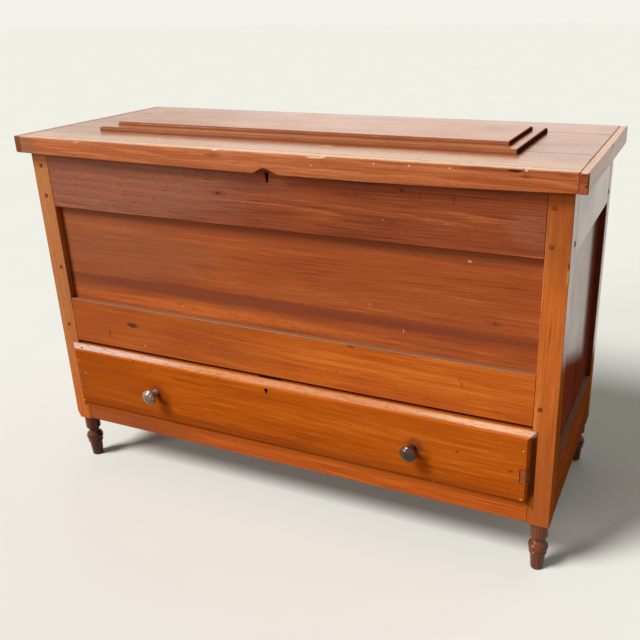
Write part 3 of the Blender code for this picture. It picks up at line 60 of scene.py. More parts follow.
# Light and floor
FLOOR_SIZE = 60
FLOOR_COLOUR = (0.80, 0.79, 0.735)
FLOOR_SHADE = 0.97  # darkest share of that colour
FLOOR_SCALE = (3, 3, 3)
FLOOR_ROUGHNESS = 0.9
FLOOR_BOUNCE = (0.28, 0.20, 0.13)
SKY_COLOUR = (0.89, 0.89, 0.82)
SKY_LIGHT = 0.24
# Soft lights: the direction that each comes from, its strength, and the angle that it spreads over
SIDE_LIGHT = ((-0.62, -0.72, 0.30), 1.05, 20)
HIGH_LIGHT = ((-0.45, -0.50, 0.74), 3.1, 20)
BACK_LIGHT = ((0.15, 0.88, 0.45), 0.45, 90)

# Faces that carry marks and fasteners
POST_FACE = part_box("front_left_post")[0].y
PANEL_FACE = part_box("front_panel")[0].y
DRAWER_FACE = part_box("drawer_front")[0].y
STRIP_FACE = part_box("lid_front_strip")[0].y
LID_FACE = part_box("lid_front_board")[1].z
END_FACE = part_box("front_right_post")[1].x

# Woods: pale, middle and dark tones
TOP_RAIL_WOOD = ((0.42, 0.110, 0.032), (0.275, 0.061, 0.018), (0.150, 0.028, 0.010))
PANEL_WOOD = ((0.45, 0.118, 0.032), (0.35, 0.075, 0.017), (0.24, 0.045, 0.011))
END_PANEL_WOOD = ((0.38, 0.092, 0.046), (0.28, 0.058, 0.033), (0.17, 0.031, 0.020))
MIDDLE_RAIL_WOOD = ((0.62, 0.165, 0.020), (0.48, 0.098, 0.009), (0.33, 0.056, 0.007))
END_RAIL_WOOD = ((0.50, 0.150, 0.036), (0.38, 0.096, 0.022), (0.20, 0.042, 0.012))
DRAWER_WOOD = ((0.55, 0.142, 0.013), (0.44, 0.091, 0.006), (0.31, 0.055, 0.005))
POST_WOOD = ((0.64, 0.197, 0.042), (0.52, 0.134, 0.023), (0.32, 0.068, 0.013))
LID_WOOD = ((0.52, 0.205, 0.092), (0.40, 0.138, 0.054), (0.22, 0.062, 0.024))
RAISED_WOOD = ((0.60, 0.235, 0.105), (0.48, 0.166, 0.064), (0.28, 0.076, 0.028))
STRIP_WOOD = ((0.56, 0.190, 0.072), (0.43, 0.115, 0.036), (0.27, 0.060, 0.018))
TURNED_WOOD = ((0.21, 0.062, 0.019), (0.125, 0.029, 0.007), (0.06, 0.013, 0.004))
KNOB_WOOD = ((0.20, 0.080, 0.045), (0.075, 0.024, 0.013), (0.02, 0.008, 0.005))
# Painted reflection: the left knob's wood is a paler copy of the knob wood, where it mirrors the
# side light
LIT_KNOB_WOOD = ((0.46, 0.310, 0.210), (0.17, 0.095, 0.058), (0.04, 0.018, 0.012))
PEG_WOOD = ((0.40, 0.100, 0.030), (0.30, 0.066, 0.020), (0.17, 0.034, 0.011))
PATCH_WOOD = ((0.40, 0.125, 0.036), (0.29, 0.078, 0.022), (0.15, 0.036, 0.011))
INSIDE_WOOD = ((0.52, 0.345, 0.175), (0.40, 0.245, 0.115), (0.25, 0.140, 0.060))

# Colours of wear, marks, fills and iron, and of painted light and shade
WORN_WOOD = (0.66, 0.40, 0.22)
GRIME_COLOUR = (0.055, 0.018, 0.010)
DULL_WOOD = (0.22, 0.115, 0.060)
DUST_COLOUR = (0.36, 0.23, 0.14)
# Painted reflection: a greyish glare over the top rail's left part
HAZY_GLARE_COLOUR = (0.275, 0.095, 0.055)
# Painted highlight: the near-white glare at the left end of the drawer's top chamfer
CHAMFER_GLARE_COLOUR = (0.63, 0.51, 0.47)
# Painted reflection: a pale sheen of glare on the lid's top, its front strip and the drawer's top
# chamfer
PAINTED_SHEEN_COLOUR = (0.84, 0.56, 0.38)
NOSING_COLOUR = (0.26, 0.080, 0.032)
BARE_WOOD = (0.62, 0.27, 0.06)
# Painted light: the drawer's top chamfer made paler where it faces up to the light
LIT_CHAMFER_COLOUR = (0.64, 0.36, 0.20)
SHADE_COLOUR = (0.20, 0.038, 0.009)
# Painted light: a bright orange for the drawer's downward lip, where shade falls, and a painted
# reflection of the floor low on the panel; faint on the lid's front strip
LIT_ORANGE_COLOUR = (0.78, 0.200, 0.030)
# Pale haze: a painted reflection of the side light on the top rail's left, and a faint haze at its
# right end
HAZE_AND_GLARE_COLOUR = (0.40, 0.24, 0.19)
# Painted reflection: the left post's front made paler where it mirrors the side light
POST_GLARE_COLOUR = (0.45, 0.26, 0.13)
CHIP_COLOUR = (0.74, 0.57, 0.41)
PUTTY_COLOUR = (0.76, 0.35, 0.15)
# Knots and chips, and painted shade: the drawer's right chamfer, the raised panels' right ends and
# the reveal by the rear post
KNOT_AND_SHADE_COLOUR = (0.075, 0.020, 0.010)
# Stains, and painted shade: the shadow under the top rail, the knobs' shadows and the lid's shade
# on the right post
STAIN_AND_SHADE_COLOUR = (0.16, 0.036, 0.016)
HOLE_COLOUR = (0.012, 0.006, 0.004)
IRON_COLOUR = (0.115, 0.105, 0.098)
RUST_COLOUR = (0.16, 0.062, 0.026)

# A wood finish: tones, strength of the ring figure; colour, reach and strength along the arrises;
# roughness and specular level; coat of varnish and the height under which it has worn off;
# and how far the varnish goes in from the chest's ends, where it isn't all over
FINISH_FIELDS = "tones figure rim reach wear gloss specular coat bare skin"
Finish = namedtuple("Finish", FINISH_FIELDS, defaults=(0.0,))
FINISHES = {
    "top_rail": Finish(TOP_RAIL_WOOD, 0.50, GRIME_COLOUR, 1.2 * MM, 0.5, 0.32, 0.12, 0.0, 0.0),
    "panel": Finish(PANEL_WOOD, 0.20, GRIME_COLOUR, 1.0 * MM, 0.0, 0.32, 0.12, 0.0, 0.0),
    "middle_rail": Finish(MIDDLE_RAIL_WOOD, 0.22, DULL_WOOD, 1.8 * MM, 0.7, 0.30, 0.10, 0.0, 0.0),
    "end_rail": Finish(END_RAIL_WOOD, 0.22, DULL_WOOD, 1.8 * MM, 0.6, 0.30, 0.0, 0.95, 0.40),
    "drawer": Finish(DRAWER_WOOD, 0.26, GRIME_COLOUR, 1.6 * MM, 0.4, 0.28, 0.0, 0.0, 0.0),
    "post": Finish(POST_WOOD, 0.24, WORN_WOOD, 1.2 * MM, 0.25, 0.30, 0.0, 0.90, 0.40, 3.0 * MM),
    "lid": Finish(LID_WOOD, 0.26, GRIME_COLOUR, 1.5 * MM, 0.95, 0.26, 0.16, 0.36, 0.0),
    "raised": Finish(RAISED_WOOD, 0.26, NOSING_COLOUR, 6.0 * MM, 0.95, 0.26, 0.0, 0.80, 0.0),
    "strip": Finish(STRIP_WOOD, 0.34, WORN_WOOD, 2.4 * MM, 0.5, 0.30, 0.12, 0.0, 0.0),
    "end_strip": Finish(STRIP_WOOD, 0.26, GRIME_COLOUR, 1.2 * MM, 0.2, 0.30, 0.08, 0.32, 0.0),
    "end_panel": Finish(END_PANEL_WOOD, 0.26, GRIME_COLOUR, 1.0 * MM, 0.0, 0.20, 0.0, 0.85, 0.40),
    "turned": Finish(TURNED_WOOD, 0.12, WORN_WOOD, 1.0 * MM, 0.0, 0.12, 0.26, 0.0, 0.0),
    "knob": Finish(KNOB_WOOD, 0.30, WORN_WOOD, 1.0 * MM, 0.0, 0.10, 0.36, 0.0, 0.0),
    # The left knob: a paler copy, a painted reflection
    "lit_knob": Finish(LIT_KNOB_WOOD, 0.30, WORN_WOOD, 1.0 * MM, 0.0, 0.16, 0.6, 0.0, 0.0),
    "peg": Finish(PEG_WOOD, 0.20, WORN_WOOD, 1.0 * MM, 0.0, 0.45, 0.04, 0.0, 0.0),
    "patch": Finish(PATCH_WOOD, 0.20, GRIME_COLOUR, 1.2 * MM, 0.8, 0.42, 0.0, 0.0, 0.0),
    "inside": Finish(INSIDE_WOOD, 0.30, WORN_WOOD, 1.5 * MM, 0.25, 0.62, 0.25, 0.0, 0.0),
}

# Varnish
HAZE_SCALE = (7, 9, 9)
HAZE_STRENGTH = 0.22
RUBBING_SCALE = (3, 260, 260)
RUBBING_STRENGTH = 0.12
HAZE_THINNING = 3.0  # how much thinner the coat is where it is hazy
LEAST_ROUGHNESS = 0.08
COAT_ROUGHNESS = 0.14
COAT_IOR = 1.6
BARE_SLOPE = 0.375  # how steeply the lower edge of the varnish falls towards the back
BARE_FADE = 25 * MM  # to each side of that edge
WORN_ROUGHNESS = 0.25  # added along worn arrises

# Grain: the stretch of its parts along and across a board
DRIFT_SCALE = (1.5, 3, 3)
PATINA_SCALE = (3.5, 11, 11)
BAND_SCALE = (0.7, 34, 34)
CLOUD_SCALE = (9, 40, 40)
STREAK_SCALE = (3.5, 320, 320)
FIBRE_SCALE = (6, 470, 470)
PORE_SCALE = (60, 1300, 1300)
FADING_SCALE = (2.2, 24, 24)
DRIFT = (0, 24 * MM, 24 * MM)  # how far the grain wanders off straight
RING_PLACE = (0.3, 0.055, 0.075)
RING_TILT = (0, radians(1.4), radians(2.4))
RING_SCALE = 31
RING_DISTORTION = 3.0
RING_DETAIL = 2
RING_DETAIL_SCALE = 0.25
LATEWOOD_RANGE = (0.35, 1.0)  # of a ring's width
FADING_RANGE = (0.42, 0.62)
PORE_RANGE = (0.66, 0.76)
PORE_SHADE = 0.55
BAND_STRENGTH = 0.5  # how much each part changes the tone
STREAK_STRENGTH = 0.6
CLOUD_STRENGTH = 0.3
FIBRE_STRENGTH = 1.7
PATINA_STRENGTH = 1.1
MIDDLE_TONE = 0.5
FIBRE_HEIGHT = 0.5
MEAN_LATEWOOD = 0.12
MEAN_HEIGHT = 0.22
SEED_SHIFT = (1.37, 0.43, 0.29)  # from one piece's grain to the next
GRAIN_BUMP = (0.12, 0.4 * MM)  # strength and depth
END_GRAIN_REACH = (3.0 * MM, 0.5 * MM)  # where it begins and where it is full
END_GRAIN_SHADE = 0.45

# Wear along arrises: how unevenly it reaches in, in patches and in crumbs
WEAR_PATCHES = 4.2 * MM
WEAR_PATCH_SCALE = (22, 22, 22)
WEAR_CRUMBS = 2.0 * MM
WEAR_CRUMB_SCALE = (420, 420, 420)
WEAR_FADE = (1.1, 0.3)  # shares of the reach where it begins and where it is full
WEAR_END = (1.0 * MM, 5.0 * MM)  # it sets in between these distances from an end of the grain

# Iron, putty and holes
RUST_SCALE = (130, 130, 130)
PIT_SCALE = (900, 900, 900)
PIT_BUMP = (0.25, 0.3 * MM)  # strength and depth
IRON_ROUGHNESS = 0.38
RUST_ROUGHNESS = 0.35  # added to the iron's
RUST_COVER = 0.8
RUST_RANGE = (0.48, 0.66)
FILL_SCALE = (600, 600, 600)
FILL_SHADE = 0.6  # darkest share of a fill's colour
FILL_SPECULAR = 0.1
PUTTY_ROUGHNESS = 0.5
NAIL_ROUGHNESS = 0.4
SLOT_ROUGHNESS = 0.6

# A mark in the wood, or painted light or shade on it: its middle, half sizes, colour and strength
Mark = namedtuple("Mark", "place size colour strength")
MARK_DEPTH = 6 * MM
WHOLE_LENGTH = 1.3  # half size of a mark that runs from end to end
GRAIN_SHOWING = 4.0  # how strongly the grain shows through a thin mark
MARK_SEED_SCALE = (97, 89, 83)  # gives each mark an edge of its own
MARK_LUMP_SCALE = (1.7, 1.7, 1.7)
MARK_RAGGEDNESS = (0.9, 0.9, 0.9)
MARK_FADE = (1.1, 0.45)  # shares of the half size where it begins and where it is full
KNOT_SWIRL = (26 * MM, 6 * MM)
KNOT_HEART = (7 * MM, 4 * MM)
KEYHOLE_DEPTH = 9 * MM
KEYHOLE_SHADE = (8 * MM, 10 * MM, 14 * MM)

SOCKETS = {"vector": "NodeSocketVector", "colour": "NodeSocketColor", "value": "NodeSocketFloat"}
HALF = (0.5, 0.5, 0.5)
FORWARD = (0, -1, 0)
BACKWARD = (0, 1, 0)
UPWARD = (0, 0, 1)
DOWNWARD = (0, 0, -1)
AXES = {"x": (1, 0, 0), "y": (0, 1, 0), "z": (0, 0, 1)}
LAYING = {"x": (0, 0, 0), "y": (0, 0, radians(-90)), "z": (0, radians(90), 0)}


def put(tree, kind, **settings):
    """A node of this kind with its own settings."""
    node = tree.nodes.new(kind)
    for name, value in settings.items():
        setattr(node, name, value)
    return node


def feed(tree, socket, value):
    """Link an output to a socket, or set the socket's own value."""
    if isinstance(value, bpy.types.NodeSocket):
        tree.links.new(value, socket)
    elif socket.type == "RGBA":
        socket.default_value = (*value, 1.0)
    else:
        socket.default_value = value


def maths(tree, operation, first, second=0.0):
    node = put(tree, "ShaderNodeMath", operation=operation)
    feed(tree, node.inputs[0], first)
    feed(tree, node.inputs[1], second)
    return node.outputs[0]


def total(tree, *values):
    """The sum of several values."""
    result = values[0]
    for value in values[1:]:
        result = maths(tree, "ADD", result, value)
    return result


def vectors(tree, operation, first, second):
    node = put(tree, "ShaderNodeVectorMath", operation=operation)
    feed(tree, node.inputs[0], first)
    feed(tree, node.inputs[1], second)
    return node.outputs["Vector"]


def length(tree, vector):
    node = put(tree, "ShaderNodeVectorMath", operation="LENGTH")
    feed(tree, node.inputs[0], vector)
    return node.outputs["Value"]


def noise(tree, place, scale, detail=2.0, output="Fac"):
    """Noise over a place stretched by a scale along each axis."""
    node = put(tree, "ShaderNodeTexNoise")
    feed(tree, node.inputs["Vector"], vectors(tree, "MULTIPLY", place, scale))
    node.inputs["Scale"].default_value = 1.0
    node.inputs["Detail"].default_value = detail
    return node.outputs[output]


def spread(tree, value, amount):
    """A value round a half, made into one round zero that is this strong."""
    return maths(tree, "MULTIPLY", maths(tree, "SUBTRACT", value, 0.5), amount)


def ramp(tree, value, start, end):
    """Rises smoothly from 0 at start to 1 at end, or falls where end is the lower."""
    low, high = sorted((start, end))
    node = put(tree, "ShaderNodeMapRange", interpolation_type="SMOOTHSTEP")
    feed(tree, node.inputs["Value"], value)
    node.inputs["From Min"].default_value = low
    node.inputs["From Max"].default_value = high
    node.inputs["To Min"].default_value = 0.0 if end > start else 1.0
    node.inputs["To Max"].default_value = 1.0 if end > start else 0.0
    return node.outputs["Result"]


def mixed(tree, share, first, second):
    node = put(tree, "ShaderNodeMix", data_type="RGBA")
    feed(tree, node.inputs["Factor"], share)
    feed(tree, node.inputs[6], first)
    feed(tree, node.inputs[7], second)
    return node.outputs[2]


def new_group(name, inputs, outputs):
    """A shader group with named sockets: its tree, what it is given and what it puts out."""
    tree = bpy.data.node_groups.new(name, "ShaderNodeTree")
    for label, kind in inputs.items():
        tree.interface.new_socket(label, in_out="INPUT", socket_type=SOCKETS[kind])
    for label, kind in outputs.items():
        tree.interface.new_socket(label, in_out="OUTPUT", socket_type=SOCKETS[kind])
    given = put(tree, "NodeGroupInput").outputs
    result = put(tree, "NodeGroupOutput").inputs
    return tree, given, result


def use_group(tree, group, values):
    node = put(tree, "ShaderNodeGroup", node_tree=group)
    for label, value in values.items():
        feed(tree, node.inputs[label], value)
    return node.outputs


def growth_rings(tree, place):
    """Dark latewood of slightly tilted growth rings, stronger here and weaker there."""
    tilted = put(tree, "ShaderNodeMapping")
    feed(tree, tilted.inputs["Vector"], place)
    tilted.inputs["Location"].default_value = RING_PLACE
    tilted.inputs["Rotation"].default_value = RING_TILT
    rings = put(tree, "ShaderNodeTexWave", wave_type="RINGS", wave_profile="SAW")
    rings.rings_direction = "X"
    feed(tree, rings.inputs["Vector"], tilted.outputs["Vector"])
    rings.inputs["Scale"].default_value = RING_SCALE
    rings.inputs["Distortion"].default_value = RING_DISTORTION
    rings.inputs["Detail"].default_value = RING_DETAIL
    rings.inputs["Detail Scale"].default_value = RING_DETAIL_SCALE
    latewood = ramp(tree, rings.outputs["Fac"], *LATEWOOD_RANGE)
    fading = ramp(tree, noise(tree, place, FADING_SCALE), *FADING_RANGE)
    return maths(tree, "MULTIPLY", latewood, fading)


def build_grain():
    """Cherry grain along X: patina, bands, streaks, fibres, growth rings and short dark pores."""
    tones = {"Pale": "colour", "Middle": "colour", "Dark": "colour"}
    inputs = {"Place": "vector", **tones, "Figure": "value"}
    outputs = {"Colour": "colour", "Height": "value"}
    tree, given, result = new_group("cherry grain", inputs, outputs)
    drift = noise(tree, given["Place"], DRIFT_SCALE, 1.0, "Color")
    drift = vectors(tree, "MULTIPLY", vectors(tree, "SUBTRACT", drift, HALF), DRIFT)
    place = vectors(tree, "ADD", given["Place"], drift)
    fibres = noise(tree, place, FIBRE_SCALE, 5.0)
    pores = ramp(tree, noise(tree, place, PORE_SCALE, 0.0), *PORE_RANGE)
    figure = maths(tree, "SUBTRACT", growth_rings(tree, place), MEAN_LATEWOOD)
    tone = total(
        tree,
        spread(tree, noise(tree, place, BAND_SCALE, 2.0), BAND_STRENGTH),
        spread(tree, noise(tree, place, STREAK_SCALE, 3.0), STREAK_STRENGTH),
        spread(tree, noise(tree, place, CLOUD_SCALE, 3.0), CLOUD_STRENGTH),
        spread(tree, fibres, FIBRE_STRENGTH),
        spread(tree, noise(tree, given["Place"], PATINA_SCALE, 4.0), PATINA_STRENGTH),
        maths(tree, "MULTIPLY", figure, given["Figure"]),
        MIDDLE_TONE,
    )
    colour = mixed(tree, ramp(tree, tone, 0.0, MIDDLE_TONE), given["Dark"], given["Middle"])
    colour = mixed(tree, ramp(tree, tone, MIDDLE_TONE, 1.0), colour, given["Pale"])
    colour = mixed(tree, maths(tree, "MULTIPLY", pores, PORE_SHADE), colour, given["Dark"])
    feed(tree, result["Colour"], colour)
    raised = maths(tree, "MULTIPLY", fibres, FIBRE_HEIGHT)
    feed(tree, result["Height"], maths(tree, "SUBTRACT", raised, pores))
    return tree


def build_arris():
    """Distance to the nearest arris of a squared piece, and to its nearer end along the grain."""
    inputs = {"Place": "vector", "Low": "vector", "High": "vector", "Along": "vector"}
    tree, given, result = new_group("arris", inputs, {"Distance": "value", "End": "value"})
    above = vectors(tree, "SUBTRACT", given["Place"], given["Low"])
    below = vectors(tree, "SUBTRACT", given["High"], given["Place"])
    nearest = vectors(tree, "MINIMUM", above, below)
    parts = put(tree, "ShaderNodeSeparateXYZ")
    feed(tree, parts.inputs[0], nearest)
    x, y, z = parts.outputs
    lower = maths(tree, "MINIMUM", x, y)
    upper = maths(tree, "MINIMUM", maths(tree, "MAXIMUM", x, y), z)
    feed(tree, result["Distance"], maths(tree, "MAXIMUM", lower, upper))
    end = put(tree, "ShaderNodeVectorMath", operation="DOT_PRODUCT")
    feed(tree, end.inputs[0], nearest)
    feed(tree, end.inputs[1], given["Along"])
    feed(tree, result["End"], end.outputs["Value"])
    return tree


def build_wear():
    """Uneven rubbing or grime that reaches in from an arris, but not at the ends of the grain."""
    values = {"Distance": "value", "End": "value", "Reach": "value", "Strength": "value"}
    tree, given, result = new_group("wear", {"Place": "vector", **values}, {"Mask": "value"})
    patches = noise(tree, given["Place"], WEAR_PATCH_SCALE, 3.0)
    patches = spread(tree, patches, WEAR_PATCHES)
    crumbs = noise(tree, given["Place"], WEAR_CRUMB_SCALE, 2.0)
    crumbs = spread(tree, crumbs, WEAR_CRUMBS)
    depth = maths(tree, "ADD", given["Distance"], maths(tree, "ADD", patches, crumbs))
    depth = maths(tree, "DIVIDE", depth, given["Reach"])
    beside = ramp(tree, given["End"], *WEAR_END)
    mask = maths(tree, "MULTIPLY", ramp(tree, depth, *WEAR_FADE), beside)
    feed(tree, result["Mask"], maths(tree, "MULTIPLY", mask, given["Strength"]))
    return tree


def build_spot():
    """A soft round or long mark; the grain still shows where it is thin."""
    spot = {"Middle": "vector", "Size": "vector", "Strength": "value"}
    inputs = {"Place": "vector", **spot, "Grain": "value"}
    tree, given, result = new_group("mark", inputs, {"Mask": "value"})
    away = vectors(tree, "SUBTRACT", given["Place"], given["Middle"])
    away = vectors(tree, "DIVIDE", away, given["Size"])
    seed = vectors(tree, "MULTIPLY", given["Middle"], MARK_SEED_SCALE)
    lumps = vectors(tree, "ADD", away, seed)
    ragged = noise(tree, lumps, MARK_LUMP_SCALE, 4.0, "Color")
    ragged = vectors(tree, "SUBTRACT", ragged, HALF)
    ragged = vectors(tree, "MULTIPLY", ragged, MARK_RAGGEDNESS)
    away = vectors(tree, "ADD", away, ragged)
    mask = ramp(tree, length(tree, away), *MARK_FADE)
    mask = maths(tree, "MULTIPLY", mask, given["Strength"])
    grain = maths(tree, "SUBTRACT", given["Grain"], MEAN_HEIGHT)
    grain = maths(tree, "MULTIPLY", grain, GRAIN_SHOWING)
    change = maths(tree, "MULTIPLY", grain, maths(tree, "SUBTRACT", 1.0, mask))
    feed(tree, result["Mask"], maths(tree, "MULTIPLY", mask, maths(tree, "ADD", 1.0, change)))
    return tree


def build_varnish():
    """Roughness and thickness of old varnish, with hazy patches and rubbing along the grain."""
    inputs = {"Place": "vector", "Gloss": "value", "Thickness": "value"}
    tree, given, result = new_group("old varnish", inputs, {"Roughness": "value", "Coat": "value"})
    haze = spread(tree, noise(tree, given["Place"], HAZE_SCALE, 4.0), HAZE_STRENGTH)
    rubbing = noise(tree, given["Place"], RUBBING_SCALE, 2.0)
    rubbing = spread(tree, rubbing, RUBBING_STRENGTH)
    rough = maths(tree, "ADD", given["Gloss"], maths(tree, "ADD", haze, rubbing))
    feed(tree, result["Roughness"], maths(tree, "MAXIMUM", rough, LEAST_ROUGHNESS))
    coat = maths(tree, "SUBTRACT", 1.0, maths(tree, "MULTIPLY", haze, HAZE_THINNING))
    feed(tree, result["Coat"], maths(tree, "MULTIPLY", coat, given["Thickness"]))
    return tree


GRAIN = build_grain()
ARRIS = build_arris()
WEAR = build_wear()
SPOT = build_spot()
VARNISH = build_varnish()


def new_material(name):
    made = bpy.data.materials.new(name)
    made.use_nodes = True
    tree = made.node_tree
    return made, tree, tree.nodes["Principled BSDF"]


def bumped(tree, shader, height, strength, distance):
    bump = put(tree, "ShaderNodeBump")
    bump.inputs["Strength"].default_value = strength
    bump.inputs["Distance"].default_value = distance
    feed(tree, bump.inputs["Height"], height)
    feed(tree, shader.inputs["Normal"], bump.outputs["Normal"])


def lay_grain(tree, place, along, seed):
    """A place turned so that X follows the grain, and moved on from the last piece's grain."""
    laid = put(tree, "ShaderNodeMapping")
    feed(tree, laid.inputs["Vector"], place)
    laid.inputs["Rotation"].default_value = LAYING[along]
    laid.inputs["Location"].default_value = [seed * shift for shift in SEED_SHIFT]
    return laid.outputs["Vector"]


def add_marks(tree, place, height, colour, dull, marks):
    """Lay marks over a colour, and add them to where the surface is dull."""
    for mark in marks:
        spot = {"Middle": mark.place, "Size": mark.size, "Strength": mark.strength}
        mask = use_group(tree, SPOT, {"Place": place, **spot, "Grain": height})["Mask"]
        colour = mixed(tree, mask, colour, mark.colour)
        dull = maths(tree, "MAXIMUM", dull, mask)
    return colour, dull


def varnish_left(tree, place, finish):
    """1 where the coat of varnish is still on, 0 where it has gone."""
    parts = put(tree, "ShaderNodeSeparateXYZ")
    feed(tree, parts.inputs[0], place)
    fall = maths(tree, "MULTIPLY", parts.outputs["Y"], BARE_SLOPE)
    height = maths(tree, "ADD", parts.outputs["Z"], fall)
    left = ramp(tree, height, finish.bare - BARE_FADE, finish.bare + BARE_FADE)
    if finish.skin:
        across = maths(tree, "ABSOLUTE", parts.outputs["X"])
        left = maths(tree, "MULTIPLY", left, ramp(tree, across, END_FACE - finish.skin, END_FACE))
    return left


def timber(name, finish, along, box, seed, marks=()):
    """Varnished wood of one piece: grain along an axis, end grain, marks and worn arrises."""
    made, tree, shader = new_material(name)
    place = put(tree, "ShaderNodeTexCoord").outputs["Object"]
    laid = lay_grain(tree, place, along, seed)
    pale, middle, dark = finish.tones
    tones = {"Pale": pale, "Middle": middle, "Dark": dark, "Figure": finish.figure}
    grain = use_group(tree, GRAIN, {"Place": laid, **tones})
    sides = {"Low": box[0], "High": box[1], "Along": AXES[along]}
    edge = use_group(tree, ARRIS, {"Place": place, **sides})
    end_grain = ramp(tree, edge["End"], *END_GRAIN_REACH)
    end_shade = maths(tree, "MULTIPLY", end_grain, END_GRAIN_SHADE)
    colour = mixed(tree, end_shade, grain["Colour"], dark)
    colour, dull = add_marks(tree, place, grain["Height"], colour, end_grain, marks)
    rubbing = {"Reach": finish.reach, "Strength": finish.wear}
    near = {"Distance": edge["Distance"], "End": edge["End"]}
    worn = use_group(tree, WEAR, {"Place": laid, **near, **rubbing})["Mask"]
    feed(tree, shader.inputs["Base Color"], mixed(tree, worn, colour, finish.rim))
    coat = {"Gloss": finish.gloss, "Thickness": finish.coat}
    varnish = use_group(tree, VARNISH, {"Place": laid, **coat})
    rough = maths(tree, "MULTIPLY", worn, WORN_ROUGHNESS)
    feed(tree, shader.inputs["Roughness"], maths(tree, "ADD", varnish["Roughness"], rough))
    shader.inputs["Specular IOR Level"].default_value = finish.specular
    if finish.coat:
        bright = maths(tree, "SUBTRACT", 1.0, maths(tree, "MAXIMUM", dull, worn))
        kept = maths(tree, "MULTIPLY", varnish_left(tree, place, finish), bright)
        feed(tree, shader.inputs["Coat Weight"], maths(tree, "MULTIPLY", varnish["Coat"], kept))
        shader.inputs["Coat Roughness"].default_value = COAT_ROUGHNESS
        shader.inputs["Coat IOR"].default_value = COAT_IOR
    bumped(tree, shader, grain["Height"], *GRAIN_BUMP)
    return made


def old_iron():
    """Dark iron, a little rusty."""
    made, tree, shader = new_material("old iron")
    place = put(tree, "ShaderNodeTexCoord").outputs["Object"]
    rust = ramp(tree, noise(tree, place, RUST_SCALE, 5.0), *RUST_RANGE)
    feed(tree, shader.inputs["Base Color"], mixed(tree, rust, IRON_COLOUR, RUST_COLOUR))
    covered = maths(tree, "MULTIPLY", rust, RUST_COVER)
    feed(tree, shader.inputs["Metallic"], maths(tree, "SUBTRACT", 1.0, covered))
    rough = maths(tree, "MULTIPLY", rust, RUST_ROUGHNESS)
    feed(tree, shader.inputs["Roughness"], maths(tree, "ADD", IRON_ROUGHNESS, rough))
    bumped(tree, shader, noise(tree, place, PIT_SCALE, 3.0), *PIT_BUMP)
    return made


def plain(name, colour, roughness):
    """A small fill or hole: one colour broken up by a fine noise."""
    made, tree, shader = new_material(name)
    place = put(tree, "ShaderNodeTexCoord").outputs["Object"]
    shade = tuple(channel * FILL_SHADE for channel in colour)
    colour = mixed(tree, noise(tree, place, FILL_SCALE, 3.0), shade, colour)
    feed(tree, shader.inputs["Base Color"], colour)
    shader.inputs["Roughness"].default_value = roughness
    shader.inputs["Specular IOR Level"].default_value = FILL_SPECULAR
    return made


def dot(x, z, face, radius, colour, strength=0.9):
    """A round mark on a front face."""
    return Mark((x, face, z), (radius, MARK_DEPTH, radius), colour, strength)


def dash(x, z, face, half_length, half_height, colour, strength=0.7):
    """A mark drawn out along the length."""
    return Mark((x, face, z), (half_length, MARK_DEPTH, half_height), colour, strength)


def knot(x, z, face, swirl=0.55, colour=KNOT_AND_SHADE_COLOUR, strength=0.85):
    """A small knot and the dark swirl of grain beside it."""
    return [
        dash(x, z, face, *KNOT_SWIRL, STAIN_AND_SHADE_COLOUR, swirl),
        dash(x, z, face, *KNOT_HEART, colour, strength),
    ]


def keyhole_shade(x, z, face):
    """Darkness on the walls of a keyhole."""
    return Mark((x, face + KEYHOLE_DEPTH, z), KEYHOLE_SHADE, HOLE_COLOUR, 1.0)


def top_rail_marks():
    return [
        # Painted reflection of the side light: a pale glare haze over the left part
        dash(-0.54, 0.745, POST_FACE, 0.60, 150 * MM, HAZE_AND_GLARE_COLOUR, 0.24),
        # A faint pale haze at the right end
        dash(0.545, 0.734, POST_FACE, 60 * MM, 40 * MM, HAZE_AND_GLARE_COLOUR, 0.10),
        # Painted reflection of the side light: a greyish glare over the left and middle
        dash(-0.34, 0.755, POST_FACE, 0.46, 80 * MM, HAZY_GLARE_COLOUR, 0.5),
        keyhole_shade(0.010, 0.7895, POST_FACE),
        *knot(-0.1094, 0.7493, POST_FACE),
        dot(0.2975, 0.7855, POST_FACE, 5 * MM, KNOT_AND_SHADE_COLOUR, 0.9),
        dash(0.3336, 0.7761, POST_FACE, 1.6 * MM, 14 * MM, KNOT_AND_SHADE_COLOUR, 0.5),
        dash(0.3987, 0.7758, POST_FACE, 1.8 * MM, 12 * MM, KNOT_AND_SHADE_COLOUR, 0.7),
        dash(0.3873, 0.7301, POST_FACE, 5 * MM, 1.6 * MM, BARE_WOOD, 0.5),
        dot(0.2594, 0.7259, POST_FACE, 1.6 * MM, PUTTY_COLOUR, 0.7),
    ]


def panel_marks():
    return [
        dash(-0.50, 0.60, PANEL_FACE, 0.40, 120 * MM, DULL_WOOD, 0.28),
        # Painted shadow of the top rail on the panel's top
        dash(0.0, 0.682, PANEL_FACE, WHOLE_LENGTH, 44 * MM, STAIN_AND_SHADE_COLOUR, 0.42),
        dash(-0.06, 0.509, PANEL_FACE, 0.90, 18 * MM, STAIN_AND_SHADE_COLOUR, 0.72),
        # Painted reflection of the floor: a brighter orange band low on the panel
        dash(-0.20, 0.472, PANEL_FACE, 0.50, 16 * MM, LIT_ORANGE_COLOUR, 0.3),
        dash(0.428, 0.6587, PANEL_FACE, 5 * MM, 3 * MM, PUTTY_COLOUR, 0.8),
        *knot(0.4804, 0.5407, PANEL_FACE, 0.4, STAIN_AND_SHADE_COLOUR, 0.8),
        dash(0.2951, 0.4971, PANEL_FACE, 1.4 * MM, 6 * MM, PUTTY_COLOUR, 0.7),
        dash(0.2219, 0.5438, PANEL_FACE, 1.2 * MM, 7 * MM, PUTTY_COLOUR, 0.6),
        dash(-0.2432, 0.4746, PANEL_FACE, 1.2 * MM, 4 * MM, CHIP_COLOUR, 0.6),
    ]


